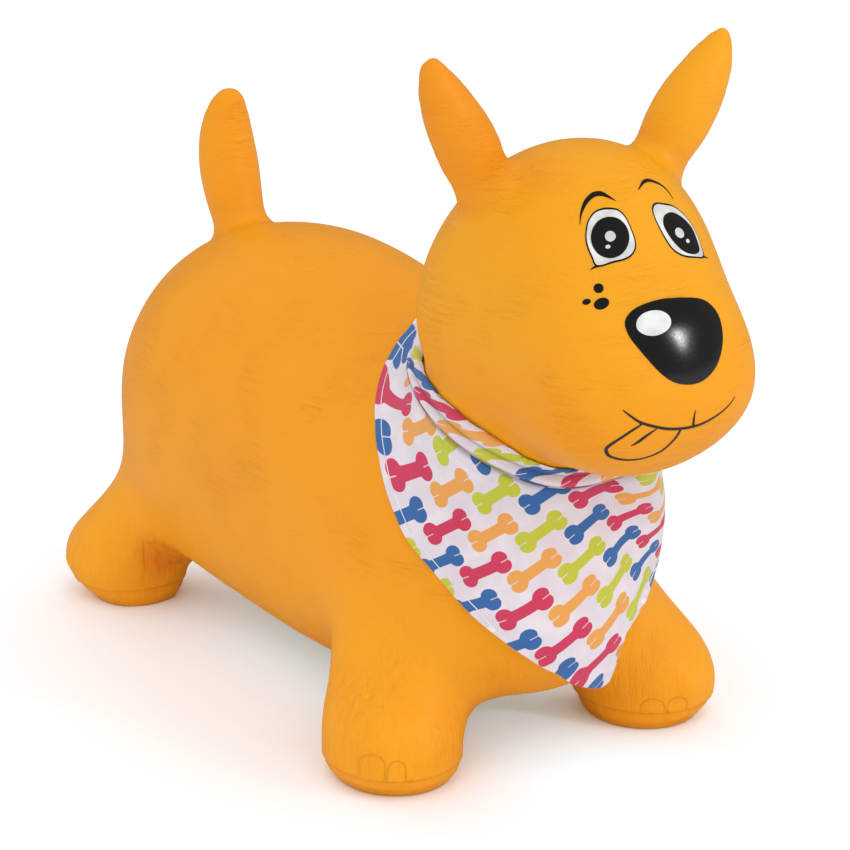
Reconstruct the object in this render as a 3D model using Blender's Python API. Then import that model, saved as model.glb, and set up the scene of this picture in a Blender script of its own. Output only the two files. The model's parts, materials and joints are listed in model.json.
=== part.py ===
"""Bouncy ride-on dog: an air-filled moulded skin on four stubby feet, with a cloth bandana.

The dog faces -Y, +Z is up and +X is the dog's left. Sizes are in metres, and places are measured
from the point on the floor under the middle of the dog.
"""

import math

import bmesh
import bpy
from mathutils import Matrix, Vector
from mathutils.bvhtree import BVHTree

# Body, from the rump to the breast
BODY_REAR = 0.2785
BODY_FRONT = 0.1985
BODY_WIDTH = 0.221
BACK_HEIGHT = 0.262
BELLY_CLEARANCE = 0.018

# Head, turned a little towards the dog's right
HEAD_AHEAD = 0.1847
HEAD_ABOVE_BACK = 0.0146
HEAD_LEVEL = BACK_HEIGHT + HEAD_ABOVE_BACK
HEAD_LENGTH = 0.195
HEAD_WIDTH = 0.172
HEAD_HEIGHT = 0.189
HEAD_TILT = math.radians(20.8)
HEAD_TURN = math.radians(-2.5)

# Neck, from inside the body to behind and below the middle of the head
NECK_AHEAD = 0.0615
NECK_BELOW_BACK = 0.112
NECK_LEVEL = BACK_HEIGHT - NECK_BELOW_BACK
NECK_BEHIND_HEAD = 0.033
NECK_BELOW_HEAD = 0.0286
NECK_WIDTH = 0.128
NECK_DEPTH = 0.128

# Legs: the foot's place, its size, and how the leg leans in towards the body
FRONT_FOOT_INSET = 0.084
HIND_FOOT_INSET = 0.047
FRONT_AXLE = BODY_FRONT - FRONT_FOOT_INSET
HIND_AXLE = BODY_REAR - HIND_FOOT_INSET
FRONT_TRACK = 0.176
HIND_TRACK = 0.177
FOOT_WIDTH = 0.082
FOOT_LENGTH = 0.090
LEG_HEIGHT = 0.150
LEG_SPLAY = 0.040
LEG_STRIDE = 0.045
SOLE_HEIGHT = 0.010
# where the legs part from the body: inwards of the foot, behind the front one, ahead of the hind one
LEG_PARTING = 0.047
FRONT_PARTING = 0.053
HIND_PARTING = 0.062
CROTCH_HEIGHT = 0.034
HIP_SLOPE = math.radians(37)

# Ears, each on a ball that stands for its soft root
EAR_LENGTH = 0.088
EAR_LEAN = math.radians(29.5)
EAR_RAKE = math.radians(6)
EAR_WIDTH = 0.0375
EAR_THICKNESS = 0.0345
EAR_BALL = 0.0175
EAR_SEAT = 0.001

# Tail, on a ball like the ears
TAIL_INSET = 0.058
TAIL_DEPTH = 0.036
TAIL_LENGTH = 0.098
TAIL_RAKE = math.radians(9)
TAIL_WIDTH = 0.043
TAIL_THICKNESS = 0.040
TAIL_BALL = 0.0205
TAIL_SEAT = 0.003

# Air valve, low on the rump between the hind legs
VALVE_INSET = 0.130
VALVE_TILT = math.radians(27)
SEAT_RADIUS = 0.0105
SEAT_DEPTH = 0.012
SEAT_LIP = 0.0004
PLUG_HEAD = 0.0078
PLUG_FLANGE = 0.0017
PLUG_BEVEL = 0.0008
PLUG_SHANK = 0.0042
PLUG_NECK = 0.0023
PLUG_LENGTH = 0.0112
PLUG_PROUD = 0.0002

# Painted face: films on the head, with their seams and lines in degrees round its centre
FILM_LIFT = 0.00045
FILM_THICKNESS = 0.0005
NOSE_BULGE = 0.0022
FILM_SEAM_ANGLE = 0.3
EYE_LINE_ANGLE = 0.9

# Bandana: cloth laid round the neck, folded over along its top into a rolled band
CLOTH = 0.0010
CLOTH_LIFT = 0.0015
CLOTH_FOLD = 0.0016
TIP_HANG = 0.016
BAND_CLOTH = 0.0020
BAND_LIFT = 0.0040
BAND_ROLL = 0.0014
HEAD_MARGIN = 0.0015
PATCH_CLOTH = 0.0008
HUB_AHEAD = 0.025
HUB_ABOVE = 0.015
BANDANA_LEAN = math.radians(43.5)
CLOSURE_ANGLE = 13
BIB_ANGLE = 168

# Clearances and the grain of the skin
SEAM_GAP = 0.0003
OVERRUN = 0.05
MERGE = 0.00001
SKIN_GRAIN = 0.0150

# Rows of (along, middle height, half width, rise above the middle, drop below it)
BODY_SHARES = (
    (0.000, 0.50, 0.00, 0.00, 0.00),
    (0.020, 0.50, 0.40, 0.20, 0.19),
    (0.065, 0.51, 0.70, 0.33, 0.32),
    (0.130, 0.52, 0.90, 0.42, 0.42),
    (0.230, 0.52, 1.00, 0.47, 0.49),
    (0.350, 0.52, 0.99, 0.48, 0.51),
    (0.490, 0.51, 0.97, 0.44, 0.51),
    (0.600, 0.50, 0.95, 0.39, 0.50),
    (0.700, 0.48, 0.90, 0.35, 0.47),
    (0.800, 0.46, 0.78, 0.32, 0.42),
    (0.900, 0.44, 0.58, 0.27, 0.34),
    (0.970, 0.42, 0.35, 0.17, 0.20),
    (1.000, 0.41, 0.00, 0.00, 0.00),
)
HEAD_SHARES = (
    (0.00, -0.04, 0.00, 0.00, 0.00),
    (0.03, -0.06, 0.42, 0.49, 0.44),
    (0.11, -0.07, 0.75, 0.81, 0.73),
    (0.24, -0.06, 0.92, 0.99, 0.90),
    (0.39, -0.04, 0.92, 1.02, 0.94),
    (0.54, -0.01, 0.84, 0.91, 0.90),
    (0.68, 0.00, 0.79, 0.67, 0.80),
    (0.81, 0.00, 0.75, 0.50, 0.66),
    (0.91, -0.02, 0.65, 0.33, 0.48),
    (0.975, -0.02, 0.42, 0.17, 0.24),
    (1.00, -0.02, 0.00, 0.00, 0.00),
)
# How square the belly's corners are, at the waist and at the breast
BELLY_CORNER_SHARES = (0.70, 0.95)
# Rows of (height, half width and length, splay and stride)
LEG_SHARES = (
    (-0.12, 0.88, 0.00),
    (0.00, 0.96, 0.00),
    (0.10, 1.00, -0.08),
    (0.23, 1.01, -0.13),
    (0.38, 0.98, 0.20),
    (0.60, 1.00, 0.70),
    (0.80, 1.03, 1.00),
    (1.00, 1.08, 1.20),
)
# Rows of (height, half width) of the bevelled sole
SOLE_SHARES = ((0.0, 0.74), (0.4, 0.87), (0.8, 0.95), (1.0, 0.98), (1.3, 1.20))
# Rows of (along, half width, bow)
EAR_SHARES = (
    (0.00, 0.78, 0.00),
    (0.14, 0.86, -0.01),
    (0.32, 0.98, 0.00),
    (0.55, 0.92, 0.01),
    (0.77, 0.67, 0.01),
    (0.93, 0.44, 0.00),
    (0.985, 0.24, -0.01),
    (1.00, 0.00, -0.01),
)
TAIL_SHARES = (
    (0.00, 0.84, 0.00),
    (0.18, 0.90, -0.08),
    (0.45, 1.00, -0.13),
    (0.70, 0.88, -0.13),
    (0.88, 0.66, -0.07),
    (0.97, 0.40, -0.01),
    (1.00, 0.00, 0.00),
)
# The ear's root within the head: to the side, behind the centre and above it, of its half sizes
EAR_ROOT_SHARES = (0.50, 0.28, 0.555)

# Face outlines in degrees round the head's centre, as (towards the dog's left, up, half line width)
NOSE_EDGE = (
    (-22, 11), (-18.5, 16.5), (-12, 19), (-3, 20), (7, 19.5), (16, 17), (21, 11), (21.5, 5),
    (19, -2), (12, -8), (6, -10.5), (0, -11), (-6, -9.5), (-11, -6), (-16, -1), (-20.5, 5),
)
NOSE_HUB = (0, 5)
NOSE_GLINT = (-11, 11)
NOSE_GLINT_HALF = (6.4, 4.3, -8)
EYE_EDGE = (
    (12, 35.5), (8.5, 43), (8.5, 51), (14, 57), (24, 59), (32.5, 57), (38, 52.5), (39.5, 45.5),
    (38, 38.5), (36.5, 33.5), (31, 34), (22, 35),
)
EYE_HUB = (24.5, 46)
PUPIL_HALF = (11.2, 8.2)
GLINT_HALF = (2.9, 2.1)
BROWS = {
    "left": (
        (2, 63.5, 0.3), (11.5, 66.5, 0.9), (22, 67, 1.4), (31.5, 64.5, 1.5), (36, 61, 1.1), (36.5, 57, 0.3),
    ),
    "right": (
        (-43, 51, 0.3), (-43, 57, 0.9), (-39.5, 61, 1.4), (-34, 63.5, 1.5), (-26, 64, 1.2), (-19, 61, 0.3),
    ),
}
CHEEK_SPOTS = {
    "upper": (32, 25.5, 2.7, 2.6),
    "inner": (30.5, 19, 3.7, 2.7),
    "outer": (37, 19.5, 2.1, 1.6),
}
SMILE = (
    (-23.5, -16.5, 0.3), (-18, -20, 0.55), (-10, -23, 0.6), (-2, -24.5, 0.6), (6, -24.5, 0.6),
    (12.5, -23.5, 0.55), (17.5, -21.5, 0.45), (23, -17.5, 0.3),
)
LIP = ((3, -18.5, 0.3), (2.5, -21, 0.5), (3, -23, 0.5))
TONGUE = (
    (-17, -22, 0.5), (-22, -25, 0.55), (-26, -28.5, 0.55), (-28, -32, 0.55), (-27, -35.5, 0.55),
    (-23, -38, 0.55), (-17, -38.5, 0.55), (-11, -37, 0.55), (-6.5, -33.5, 0.55), (-3.5, -30, 0.55),
    (-1.5, -26.5, 0.5),
)
TONGUE_CREASE = ((-11, -25, 0.3), (-14.5, -27.5, 0.5), (-17, -29.5, 0.55), (-19, -31, 0.3))

# Bandana edges in degrees: (round the neck from the breast, away from the neck's upper end)
BIB_EDGE = (
    (-180, 86), (-130, 82), (-90, 83.5), (-50, 85), (-30, 86), (-20, 87), (-8, 89), (-2, 90),
    (4, 88), (12, 82), (22, 76), (34, 73), (50, 76), (90, 82), (130, 82), (180, 86),
)
BAND_EDGE = (
    (0, 37.5), (50, 39.5), (66, 41.5), (83, 44.5), (102, 49), (121, 55), (140, 64), (156, 73), (180, 79),
)
# The bib's soft folds: (place round the neck, half width, depth as a share of the fold)
BIB_FOLD_SHARES = ((-62, 9, 1.0), (-34, 8, 0.7), (30, 8, 0.7), (58, 9, 1.0))

RING_POINTS = 28


def clear_scene():
    for obj in list(bpy.data.objects):
        bpy.data.objects.remove(obj, do_unlink=True)


def make_material(name, colour, roughness, metallic=0.0):
    material = bpy.data.materials.new(name)
    material.use_nodes = True
    shader = material.node_tree.nodes["Principled BSDF"]
    shader.inputs["Base Color"].default_value = (*colour, 1.0)
    shader.inputs["Roughness"].default_value = roughness
    shader.inputs["Metallic"].default_value = metallic
    return material


def new_object(name, mesh, material=None, origin=None):
    """An object with its origin at the point given, such as a joint's."""
    obj = bpy.data.objects.new(name, mesh)
    bpy.context.scene.collection.objects.link(obj)
    if origin:
        mesh.transform(Matrix.Translation(-origin))
        obj.location = origin
    if material:
        mesh.materials.clear()
        mesh.materials.append(material)
        mesh.shade_smooth()
        mesh.set_sharp_from_angle(angle=math.radians(42))
    return obj


def head_centre():
    return Vector((0, -HEAD_AHEAD, HEAD_LEVEL))


def neck_ends():
    foot = Vector((0, -NECK_AHEAD, NECK_LEVEL))
    return foot, head_centre() + Vector((0, NECK_BEHIND_HEAD, -NECK_BELOW_HEAD))


def catmull(p0, p1, p2, p3, t):
    return tuple(
        0.5
        * (
            2 * b
            + (c - a) * t
            + (2 * a - 5 * b + 4 * c - d) * t * t
            + (3 * b - a - 3 * c + d) * t ** 3
        )
        for a, b, c, d in zip(p0, p1, p2, p3)
    )


def smooth_rows(rows, steps, radii):
    """Rows drawn through by a spline. Columns named in radii change sign past a pole, which rounds it."""

    def beyond(row, end):
        if any(end[i] for i in radii):
            return tuple(2 * e - r for e, r in zip(end, row))
        return tuple(-r if i in radii else r for i, r in enumerate(row))

    padded = [beyond(rows[1], rows[0]), *rows, beyond(rows[-2], rows[-1])]
    drawn = []
    for i in range(len(rows) - 1):
        for k in range(steps):
            drawn.append(catmull(*padded[i : i + 4], k / steps))
    drawn.append(tuple(rows[-1]))
    return drawn


def loft(rings):
    """A closed mesh through rings of points. A ring whose points all meet is a pole."""
    bm = bmesh.new()
    loops = []
    for ring in rings:
        if (ring[0] - ring[len(ring) // 2]).length < MERGE:
            loops.append([bm.verts.new(ring[0])])
        else:
            loops.append([bm.verts.new(p) for p in ring])
    for a, b in zip(loops, loops[1:]):
        count = max(len(a), len(b))
        for i in range(count):
            j = (i + 1) % count
            corners = []
            for v in (a[i % len(a)], a[j % len(a)], b[j % len(b)], b[i % len(b)]):
                if v not in corners:
                    corners.append(v)
            bm.faces.new(corners)
    for loop in (loops[0], loops[-1]):
        if len(loop) > 1:
            bm.faces.new(loop)
    bmesh.ops.recalc_face_normals(bm, faces=bm.faces)
    mesh = bpy.data.meshes.new("loft")
    bm.to_mesh(mesh)
    bm.free()
    return mesh


def oval(half_width, rise, drop, count=RING_POINTS, corner=1.0):
    """Points of an oval as (sideways, up). Below 1, `corner` squares its lower half."""
    points = []
    for i in range(count):
        angle = 2 * math.pi * i / count
        side, up = math.cos(angle), math.sin(angle)
        if up < 0:
            side = math.copysign(abs(side) ** corner, side)
            up = -abs(up) ** corner
        points.append((half_width * side, up * (rise if up > 0 else drop)))
    return points


def body_form():
    length = BODY_REAR + BODY_FRONT
    depth = BACK_HEIGHT - BELLY_CLEARANCE
    waist, breast = BELLY_CORNER_SHARES
    rings = []
    for along, middle, wide, rise, drop in smooth_rows(BODY_SHARES, 3, (2, 3, 4)):
        y = BODY_REAR - along * length
        z = BELLY_CLEARANCE + middle * depth
        corner = waist + (breast - waist) * smooth_step(2 * along - 1)
        ring = oval(wide * BODY_WIDTH / 2, rise * depth, drop * depth, corner=corner)
        rings.append([Vector((x, y, z + up)) for x, up in ring])
    return loft(rings)


def neck_form():
    foot, top = neck_ends()
    axis = top - foot
    across = Vector((1, 0, 0))
    level = axis.normalized().cross(across)
    rings = []
    for k in range(5):
        ring = oval(NECK_WIDTH / 2, NECK_DEPTH / 2, NECK_DEPTH / 2)
        rings.append([foot + axis * k / 4 + across * x + level * up for x, up in ring])
    return loft(rings)


def foot_rings(side, end, rows):
    """Ovals round the leg's centre line. The rows hold (height, half width share, lean share)."""
    axle, track = (FRONT_AXLE, FRONT_TRACK) if end < 0 else (HIND_AXLE, HIND_TRACK)
    rings = []
    for height, wide, lean in rows:
        x = side * (track / 2 - lean * LEG_SPLAY)
        y = end * (axle - lean * LEG_STRIDE)
        ring = oval(wide * FOOT_WIDTH / 2, wide * FOOT_LENGTH / 2, wide * FOOT_LENGTH / 2)
        rings.append([Vector((x + across, y + along, height)) for across, along in ring])
    return rings


def leg_form(side, end):
    rows = [(height * LEG_HEIGHT, wide, lean) for height, wide, lean in smooth_rows(LEG_SHARES, 3, ())]
    return loft(foot_rings(side, end, rows))


def sole_form(side, end):
    return loft(foot_rings(side, end, [(height * SOLE_HEIGHT, wide, 0) for height, wide in SOLE_SHARES]))


def head_turned(point):
    return head_centre() + Matrix.Rotation(HEAD_TURN, 3, "Z") @ (point - head_centre())


def head_form(grow=0.0):
    tilt = Matrix.Rotation(HEAD_TILT, 3, "X")
    rings = []
    for along, middle, wide, rise, drop in smooth_rows(HEAD_SHARES, 2, (2, 3, 4)):
        ring = oval(
            wide * (HEAD_WIDTH / 2 + grow),
            rise * (HEAD_HEIGHT / 2 + grow),
            drop * (HEAD_HEIGHT / 2 + grow),
        )
        y = (0.5 - along) * (HEAD_LENGTH + 2 * grow)
        z = middle * HEAD_HEIGHT
        rings.append([head_turned(head_centre() + tilt @ Vector((x, y, z + up))) for x, up in ring])
    return loft(rings)


def horn_form(root, axis, face, width, thickness, shares, points=16):
    """A leaf-like horn that stands on root along the axis, broad along `face`."""
    broad = (face - axis * face.dot(axis) / axis.length_squared).normalized()
    thin = axis.normalized().cross(broad)
    rings = []
    for along, wide, bow in smooth_rows(shares, 2, (1,)):
        centre = root + axis * along + broad * bow * axis.length
        ring = oval(wide * width / 2, wide * thickness / 2, wide * thickness / 2, points)
        rings.append([centre + broad * a + thin * b for a, b in ring])
    return loft(rings)


def ball(centre, radius, segments=18, rings=10):
    bm = bmesh.new()
    bmesh.ops.create_uvsphere(
        bm, u_segments=segments, v_segments=rings, radius=radius, matrix=Matrix.Translation(centre)
    )
    return from_bmesh(bm, "ball")


def turned_form(profile, base, axis, segments=18):
    """A solid of revolution. The profile holds (distance along the axis, radius)."""
    side = axis.orthogonal().normalized()
    other = axis.cross(side)
    rings = []
    for along, radius in profile:
        ring = []
        for i in range(segments):
            angle = 2 * math.pi * i / segments
            ring.append(
                base + axis * along + (side * math.cos(angle) + other * math.sin(angle)) * radius
            )
        rings.append(ring)
    return loft(rings)


def from_bmesh(bm, name):
    bmesh.ops.recalc_face_normals(bm, faces=bm.faces)
    mesh = bpy.data.meshes.new(name)
    bm.to_mesh(mesh)
    bm.free()
    return mesh


def box(centre, half):
    bm = bmesh.new()
    matrix = Matrix.Translation(centre) @ Matrix.Diagonal((*half, 1))
    bmesh.ops.create_cube(bm, size=2, matrix=matrix)
    return from_bmesh(bm, "box")


def prism(outline, low, high):
    """The (x, z) outline drawn out along Y."""
    return loft([[Vector((x, y, z)) for x, z in outline] for y in (low, high)])


def joined(meshes):
    bm = bmesh.new()
    for mesh in meshes:
        bm.from_mesh(mesh)
    out = bpy.data.meshes.new("joined")
    bm.to_mesh(out)
    bm.free()
    return out


def evaluated_mesh(obj):
    graph = bpy.context.evaluated_depsgraph_get()
    return bpy.data.meshes.new_from_object(obj.evaluated_get(graph))


def boolean(mesh, other, operation):
    target = new_object("target", mesh)
    tool = new_object("tool", other)
    modifier = target.modifiers.new("cut", "BOOLEAN")
    modifier.object = tool
    modifier.operation = operation
    modifier.solver = "EXACT"
    result = evaluated_mesh(target)
    for obj in (target, tool):
        bpy.data.objects.remove(obj, do_unlink=True)
    bm = bmesh.new()
    bm.from_mesh(result)
    bmesh.ops.remove_doubles(bm, verts=bm.verts, dist=MERGE)
    bmesh.ops.dissolve_degenerate(bm, dist=MERGE, edges=bm.edges)
    # the tidied mesh counts only where every edge still joins two faces
    if all(len(edge.link_faces) == 2 for edge in bm.edges):
        bm.to_mesh(result)
    bm.free()
    return result


def blended_skin():
    """Body, neck and legs melted into one smooth skin."""
    legs = [leg_form(side, end) for side in (1, -1) for end in (1, -1)]
    blend = new_object("blend", joined([body_form(), neck_form(), *legs]))
    remesh = blend.modifiers.new("remesh", "REMESH")
    remesh.mode = "VOXEL"
    remesh.voxel_size = SKIN_GRAIN
    smooth = blend.modifiers.new("smooth", "SMOOTH")
    smooth.factor = 0.5
    smooth.iterations = 5
    skin = evaluated_mesh(blend)
    bpy.data.objects.remove(blend, do_unlink=True)
    return skin


def leg_reach(end):
    return (FRONT_TRACK if end < 0 else HIND_TRACK) / 2 - LEG_PARTING


def leg_wedge(side, end, grow=0.0):
    """Everything of a leg between its sole and the sloping plane where it meets the body."""
    reach = leg_reach(end) - grow
    far = BODY_WIDTH
    low = -OVERRUN if grow else SOLE_HEIGHT + SEAM_GAP
    top = CROTCH_HEIGHT + grow / math.cos(HIP_SLOPE)
    outline = [
        (side * reach, low),
        (side * reach, top),
        (side * far, top + (far - reach) * math.tan(HIP_SLOPE)),
        (side * far, low),
    ]
    if end < 0:
        return prism(outline, -BODY_FRONT - OVERRUN, FRONT_PARTING - FRONT_AXLE + grow)
    return prism(outline, HIND_AXLE - HIND_PARTING - grow, BODY_REAR + OVERRUN)


def sole_slab(side, end):
    """The block of space that holds one foot's sole."""
    centre = Vector((side * BODY_WIDTH / 2, end * BODY_REAR / 2, SOLE_HEIGHT / 2))
    return box(centre, Vector((BODY_WIDTH / 2, BODY_REAR / 2, SOLE_HEIGHT / 2)))


def surface_of(mesh):
    return BVHTree.FromPolygons(
        [v.co.copy() for v in mesh.vertices], [tuple(p.vertices) for p in mesh.polygons]
    )


def face_direction(left, up):
    a, e = math.radians(left) + HEAD_TURN, math.radians(up)
    return Vector((math.sin(a) * math.cos(e), -math.cos(a) * math.cos(e), math.sin(e)))


def closed_curve(points, steps):
    drawn = []
    n = len(points)
    for i in range(n):
        quad = [points[(i + k - 1) % n] for k in range(4)]
        drawn += [catmull(*quad, k / steps) for k in range(steps)]
    return drawn


def open_curve(points, steps):
    return smooth_rows(points, steps, ())


def reach_along(outline, hub, angle):
    """Distance from the hub to a closed outline in one direction."""
    ux, uy = math.cos(angle), math.sin(angle)
    best = 0.0
    for (ax, ay), (bx, by) in zip(outline, outline[1:] + outline[:1]):
        ax, ay, bx, by = ax - hub[0], ay - hub[1], bx - hub[0], by - hub[1]
        ca, cb = ux * ay - uy * ax, ux * by - uy * bx
        if ca * cb <= 0 and ca != cb:
            t = ca / (ca - cb)
            best = max(best, ux * (ax + (bx - ax) * t) + uy * (ay + (by - ay) * t))
    return best


def radial(outline, hub, count, shrink=0.0):
    """A closed outline as points at even angles round the hub, drawn in by `shrink`."""
    points = []
    for i in range(count):
        angle = 2 * math.pi * i / count
        far = reach_along(outline, hub, angle) - shrink
        points.append((hub[0] + far * math.cos(angle), hub[1] + far * math.sin(angle)))
    return points


def ellipse(hub, half, rise, turn=0.0, count=24):
    points = []
    for i in range(count):
        angle = 2 * math.pi * i / count
        a, b = half * math.cos(angle), rise * math.sin(angle)
        c, d = math.cos(math.radians(turn)), math.sin(math.radians(turn))
        points.append((hub[0] + a * c - b * d, hub[1] + a * d + b * c))
    return points


def skin_solid(grid, closed):
    """A closed solid from a grid of (under, over) points, rows by columns."""
    bm = bmesh.new()
    layers = []
    for layer in (0, 1):
        layers.append([[bm.verts.new(pair[layer]) for pair in row] for row in grid])
    rows, columns = len(grid), len(grid[0])
    wide = columns if closed else columns - 1
    for i in range(rows - 1):
        for j in range(wide):
            k = (j + 1) % columns
            for layer in layers:
                bm.faces.new((layer[i][j], layer[i][k], layer[i + 1][k], layer[i + 1][j]))
    for i in (0, rows - 1):
        for j in range(wide):
            k = (j + 1) % columns
            bm.faces.new((layers[0][i][j], layers[0][i][k], layers[1][i][k], layers[1][i][j]))
    if not closed:
        for j in (0, columns - 1):
            for i in range(rows - 1):
                bm.faces.new(
                    (layers[0][i][j], layers[0][i + 1][j], layers[1][i + 1][j], layers[1][i][j])
                )
    bmesh.ops.remove_doubles(bm, verts=bm.verts, dist=MERGE)
    return from_bmesh(bm, "skin")


class Face:
    """Lays painted shapes on the head."""

    def __init__(self, head):
        self.surface = surface_of(head)

    def pair(self, left, up, bulge=0.0):
        direction = face_direction(left, up)
        hit = self.surface.ray_cast(head_centre(), direction)[0]
        under = hit + direction * FILM_LIFT
        return under, under + direction * (FILM_THICKNESS + bulge)

    def patch(self, outer, inner=None, rings=1, bulge=None):
        """Between two outlines with as many points each, or filled to the middle without an inner one."""
        hub = tuple(sum(p[i] for p in outer) / len(outer) for i in (0, 1))
        inner = inner or [hub] * len(outer)
        grid = []
        for r in range(rings + 1):
            t = r / rings
            row = [(a[0] + (b[0] - a[0]) * t, a[1] + (b[1] - a[1]) * t) for a, b in zip(inner, outer)]
            grid.append([self.pair(x, y, bulge(x, y) if bulge else 0.0) for x, y in row])
        return skin_solid(grid, closed=True)

    def stroke(self, line, steps):
        points = open_curve(line, steps)
        grid = []
        for i, (x, y, half) in enumerate(points):
            before, after = points[max(i - 1, 0)], points[min(i + 1, len(points) - 1)]
            dx, dy = after[0] - before[0], after[1] - before[1]
            scale = half / math.hypot(dx, dy)
            row = []
            for k in (-1, 1):
                row.append(self.pair(x - dy * scale * k, y + dx * scale * k))
            grid.append(row)
        return skin_solid(grid, closed=False)


def face_pieces(head, black, white):
    face = Face(head)
    count = 20
    nose_edge = closed_curve(NOSE_EDGE, 3)

    def bulge(x, y):
        far = reach_along(nose_edge, NOSE_HUB, math.atan2(y - NOSE_HUB[1], x - NOSE_HUB[0]))
        share = min(math.hypot(x - NOSE_HUB[0], y - NOSE_HUB[1]) / far, 1.0)
        return NOSE_BULGE * (1 - share ** 2)

    glint_edge = ellipse(NOSE_GLINT, *NOSE_GLINT_HALF, count=48)
    nose = face.patch(
        radial(nose_edge, NOSE_GLINT, 26),
        radial(glint_edge, NOSE_GLINT, 26, -FILM_SEAM_ANGLE),
        rings=5,
        bulge=bulge,
    )
    new_object("nose", nose, black)
    new_object("nose_glint", face.patch(radial(glint_edge, NOSE_GLINT, 16), bulge=bulge), white)
    for side, name in ((1, "left"), (-1, "right")):
        hub = (side * EYE_HUB[0], EYE_HUB[1])
        edge = closed_curve([(side * x, y) for x, y in EYE_EDGE], 3)
        pupil = ellipse(hub, *PUPIL_HALF, count=48)
        glint = ellipse(hub, *GLINT_HALF, count=48)
        rim = face.patch(radial(edge, hub, count), radial(edge, hub, count, EYE_LINE_ANGLE))
        new_object("eye_outline_" + name, rim, black)
        ball_white = face.patch(
            radial(edge, hub, count, EYE_LINE_ANGLE + FILM_SEAM_ANGLE),
            radial(pupil, hub, count, -FILM_SEAM_ANGLE),
            rings=2,
        )
        new_object("eye_white_" + name, ball_white, white)
        dark = face.patch(radial(pupil, hub, count), radial(glint, hub, count, -FILM_SEAM_ANGLE))
        new_object("pupil_" + name, dark, black)
        new_object("eye_glint_" + name, face.patch(radial(glint, hub, 12)), white)
        new_object("brow_" + name, face.stroke(BROWS[name], 2), black)
    for place, (x, y, half, rise) in CHEEK_SPOTS.items():
        new_object("cheek_spot_" + place, face.patch(ellipse((-x, y), half, rise, count=10)), black)
    new_object("mouth_line", face.stroke(SMILE, 2), black)
    new_object("lip_line", face.stroke(LIP, 1), black)
    new_object("tongue_line", face.stroke(TONGUE, 2), black)
    new_object("tongue_crease", face.stroke(TONGUE_CREASE, 1), black)


def read_table(table, at):
    if table[0][0] >= 0:
        at = abs(at)
    for (a, va), (b, vb) in zip(table, table[1:]):
        if a <= at <= b:
            t = (at - a) / (b - a)
            return va + (vb - va) * t
    return table[-1][1]


class Neck:
    """Lays cloth round the neck."""

    def __init__(self, skin, head):
        self.skin = surface_of(skin)
        self.head = surface_of(head)
        self.hub = neck_ends()[0] + Vector((0, -HUB_AHEAD, HUB_ABOVE))

    def direction(self, turn, fall):
        a, b = math.radians(turn), math.radians(fall)
        axis = Vector((0, -math.sin(BANDANA_LEAN), math.cos(BANDANA_LEAN)))
        front = Vector((0, -math.cos(BANDANA_LEAN), -math.sin(BANDANA_LEAN)))
        across = front * math.cos(a) + Vector((1, 0, 0)) * math.sin(a)
        return axis * math.cos(b) + across * math.sin(b)

    def point(self, turn, fall, lift):
        """A point this high off the skin, reached from outside, where the skin is last crossed."""
        direction = self.direction(turn, fall)
        start = self.hub + direction * (BODY_REAR + BODY_FRONT)
        return self.skin.ray_cast(start, -direction)[0] + direction * lift

    def top(self, turn, lift):
        """The least fall at which cloth this high off the skin still clears the head."""
        fall = read_table(BAND_EDGE, turn) - 1
        while fall > 20:
            point = self.point(turn, fall - 1, lift)
            near, normal, _, _ = self.head.find_nearest(point)
            if (point - near).dot(normal) < HEAD_MARGIN:
                break
            fall -= 1
        return fall


def smooth_step(t):
    t = min(max(t, 0.0), 1.0)
    return t * t * (3 - 2 * t)


def cloth_solid(points, thickness, hub):
    """Cloth of even thickness over a grid of under points, thickened away from the hub."""
    rows, columns = len(points), len(points[0])
    grid = []
    for i in range(rows):
        row = []
        for j in range(columns):
            down = points[min(i + 1, rows - 1)][j] - points[max(i - 1, 0)][j]
            along = points[i][min(j + 1, columns - 1)] - points[i][max(j - 1, 0)]
            normal = along.cross(down).normalized()
            if normal.dot(points[i][j] - hub) < 0:
                normal = -normal
            row.append((points[i][j], points[i][j] + normal * thickness))
        grid.append(row)
    return skin_solid(grid, closed=False)


def bib_lift(turn, fall):
    """How far the bib stands off the skin: it hangs free at its tip and falls in soft folds."""
    hang = TIP_HANG * smooth_step((fall - 62) / 28) * smooth_step(1.2 - abs(turn + 2) / 36)
    fold = sum(depth * math.exp(-(((turn - at) / half) ** 2)) for at, half, depth in BIB_FOLD_SHARES)
    return CLOTH_LIFT + hang + CLOTH_FOLD * fold * smooth_step((fall - 52) / 20)


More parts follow.
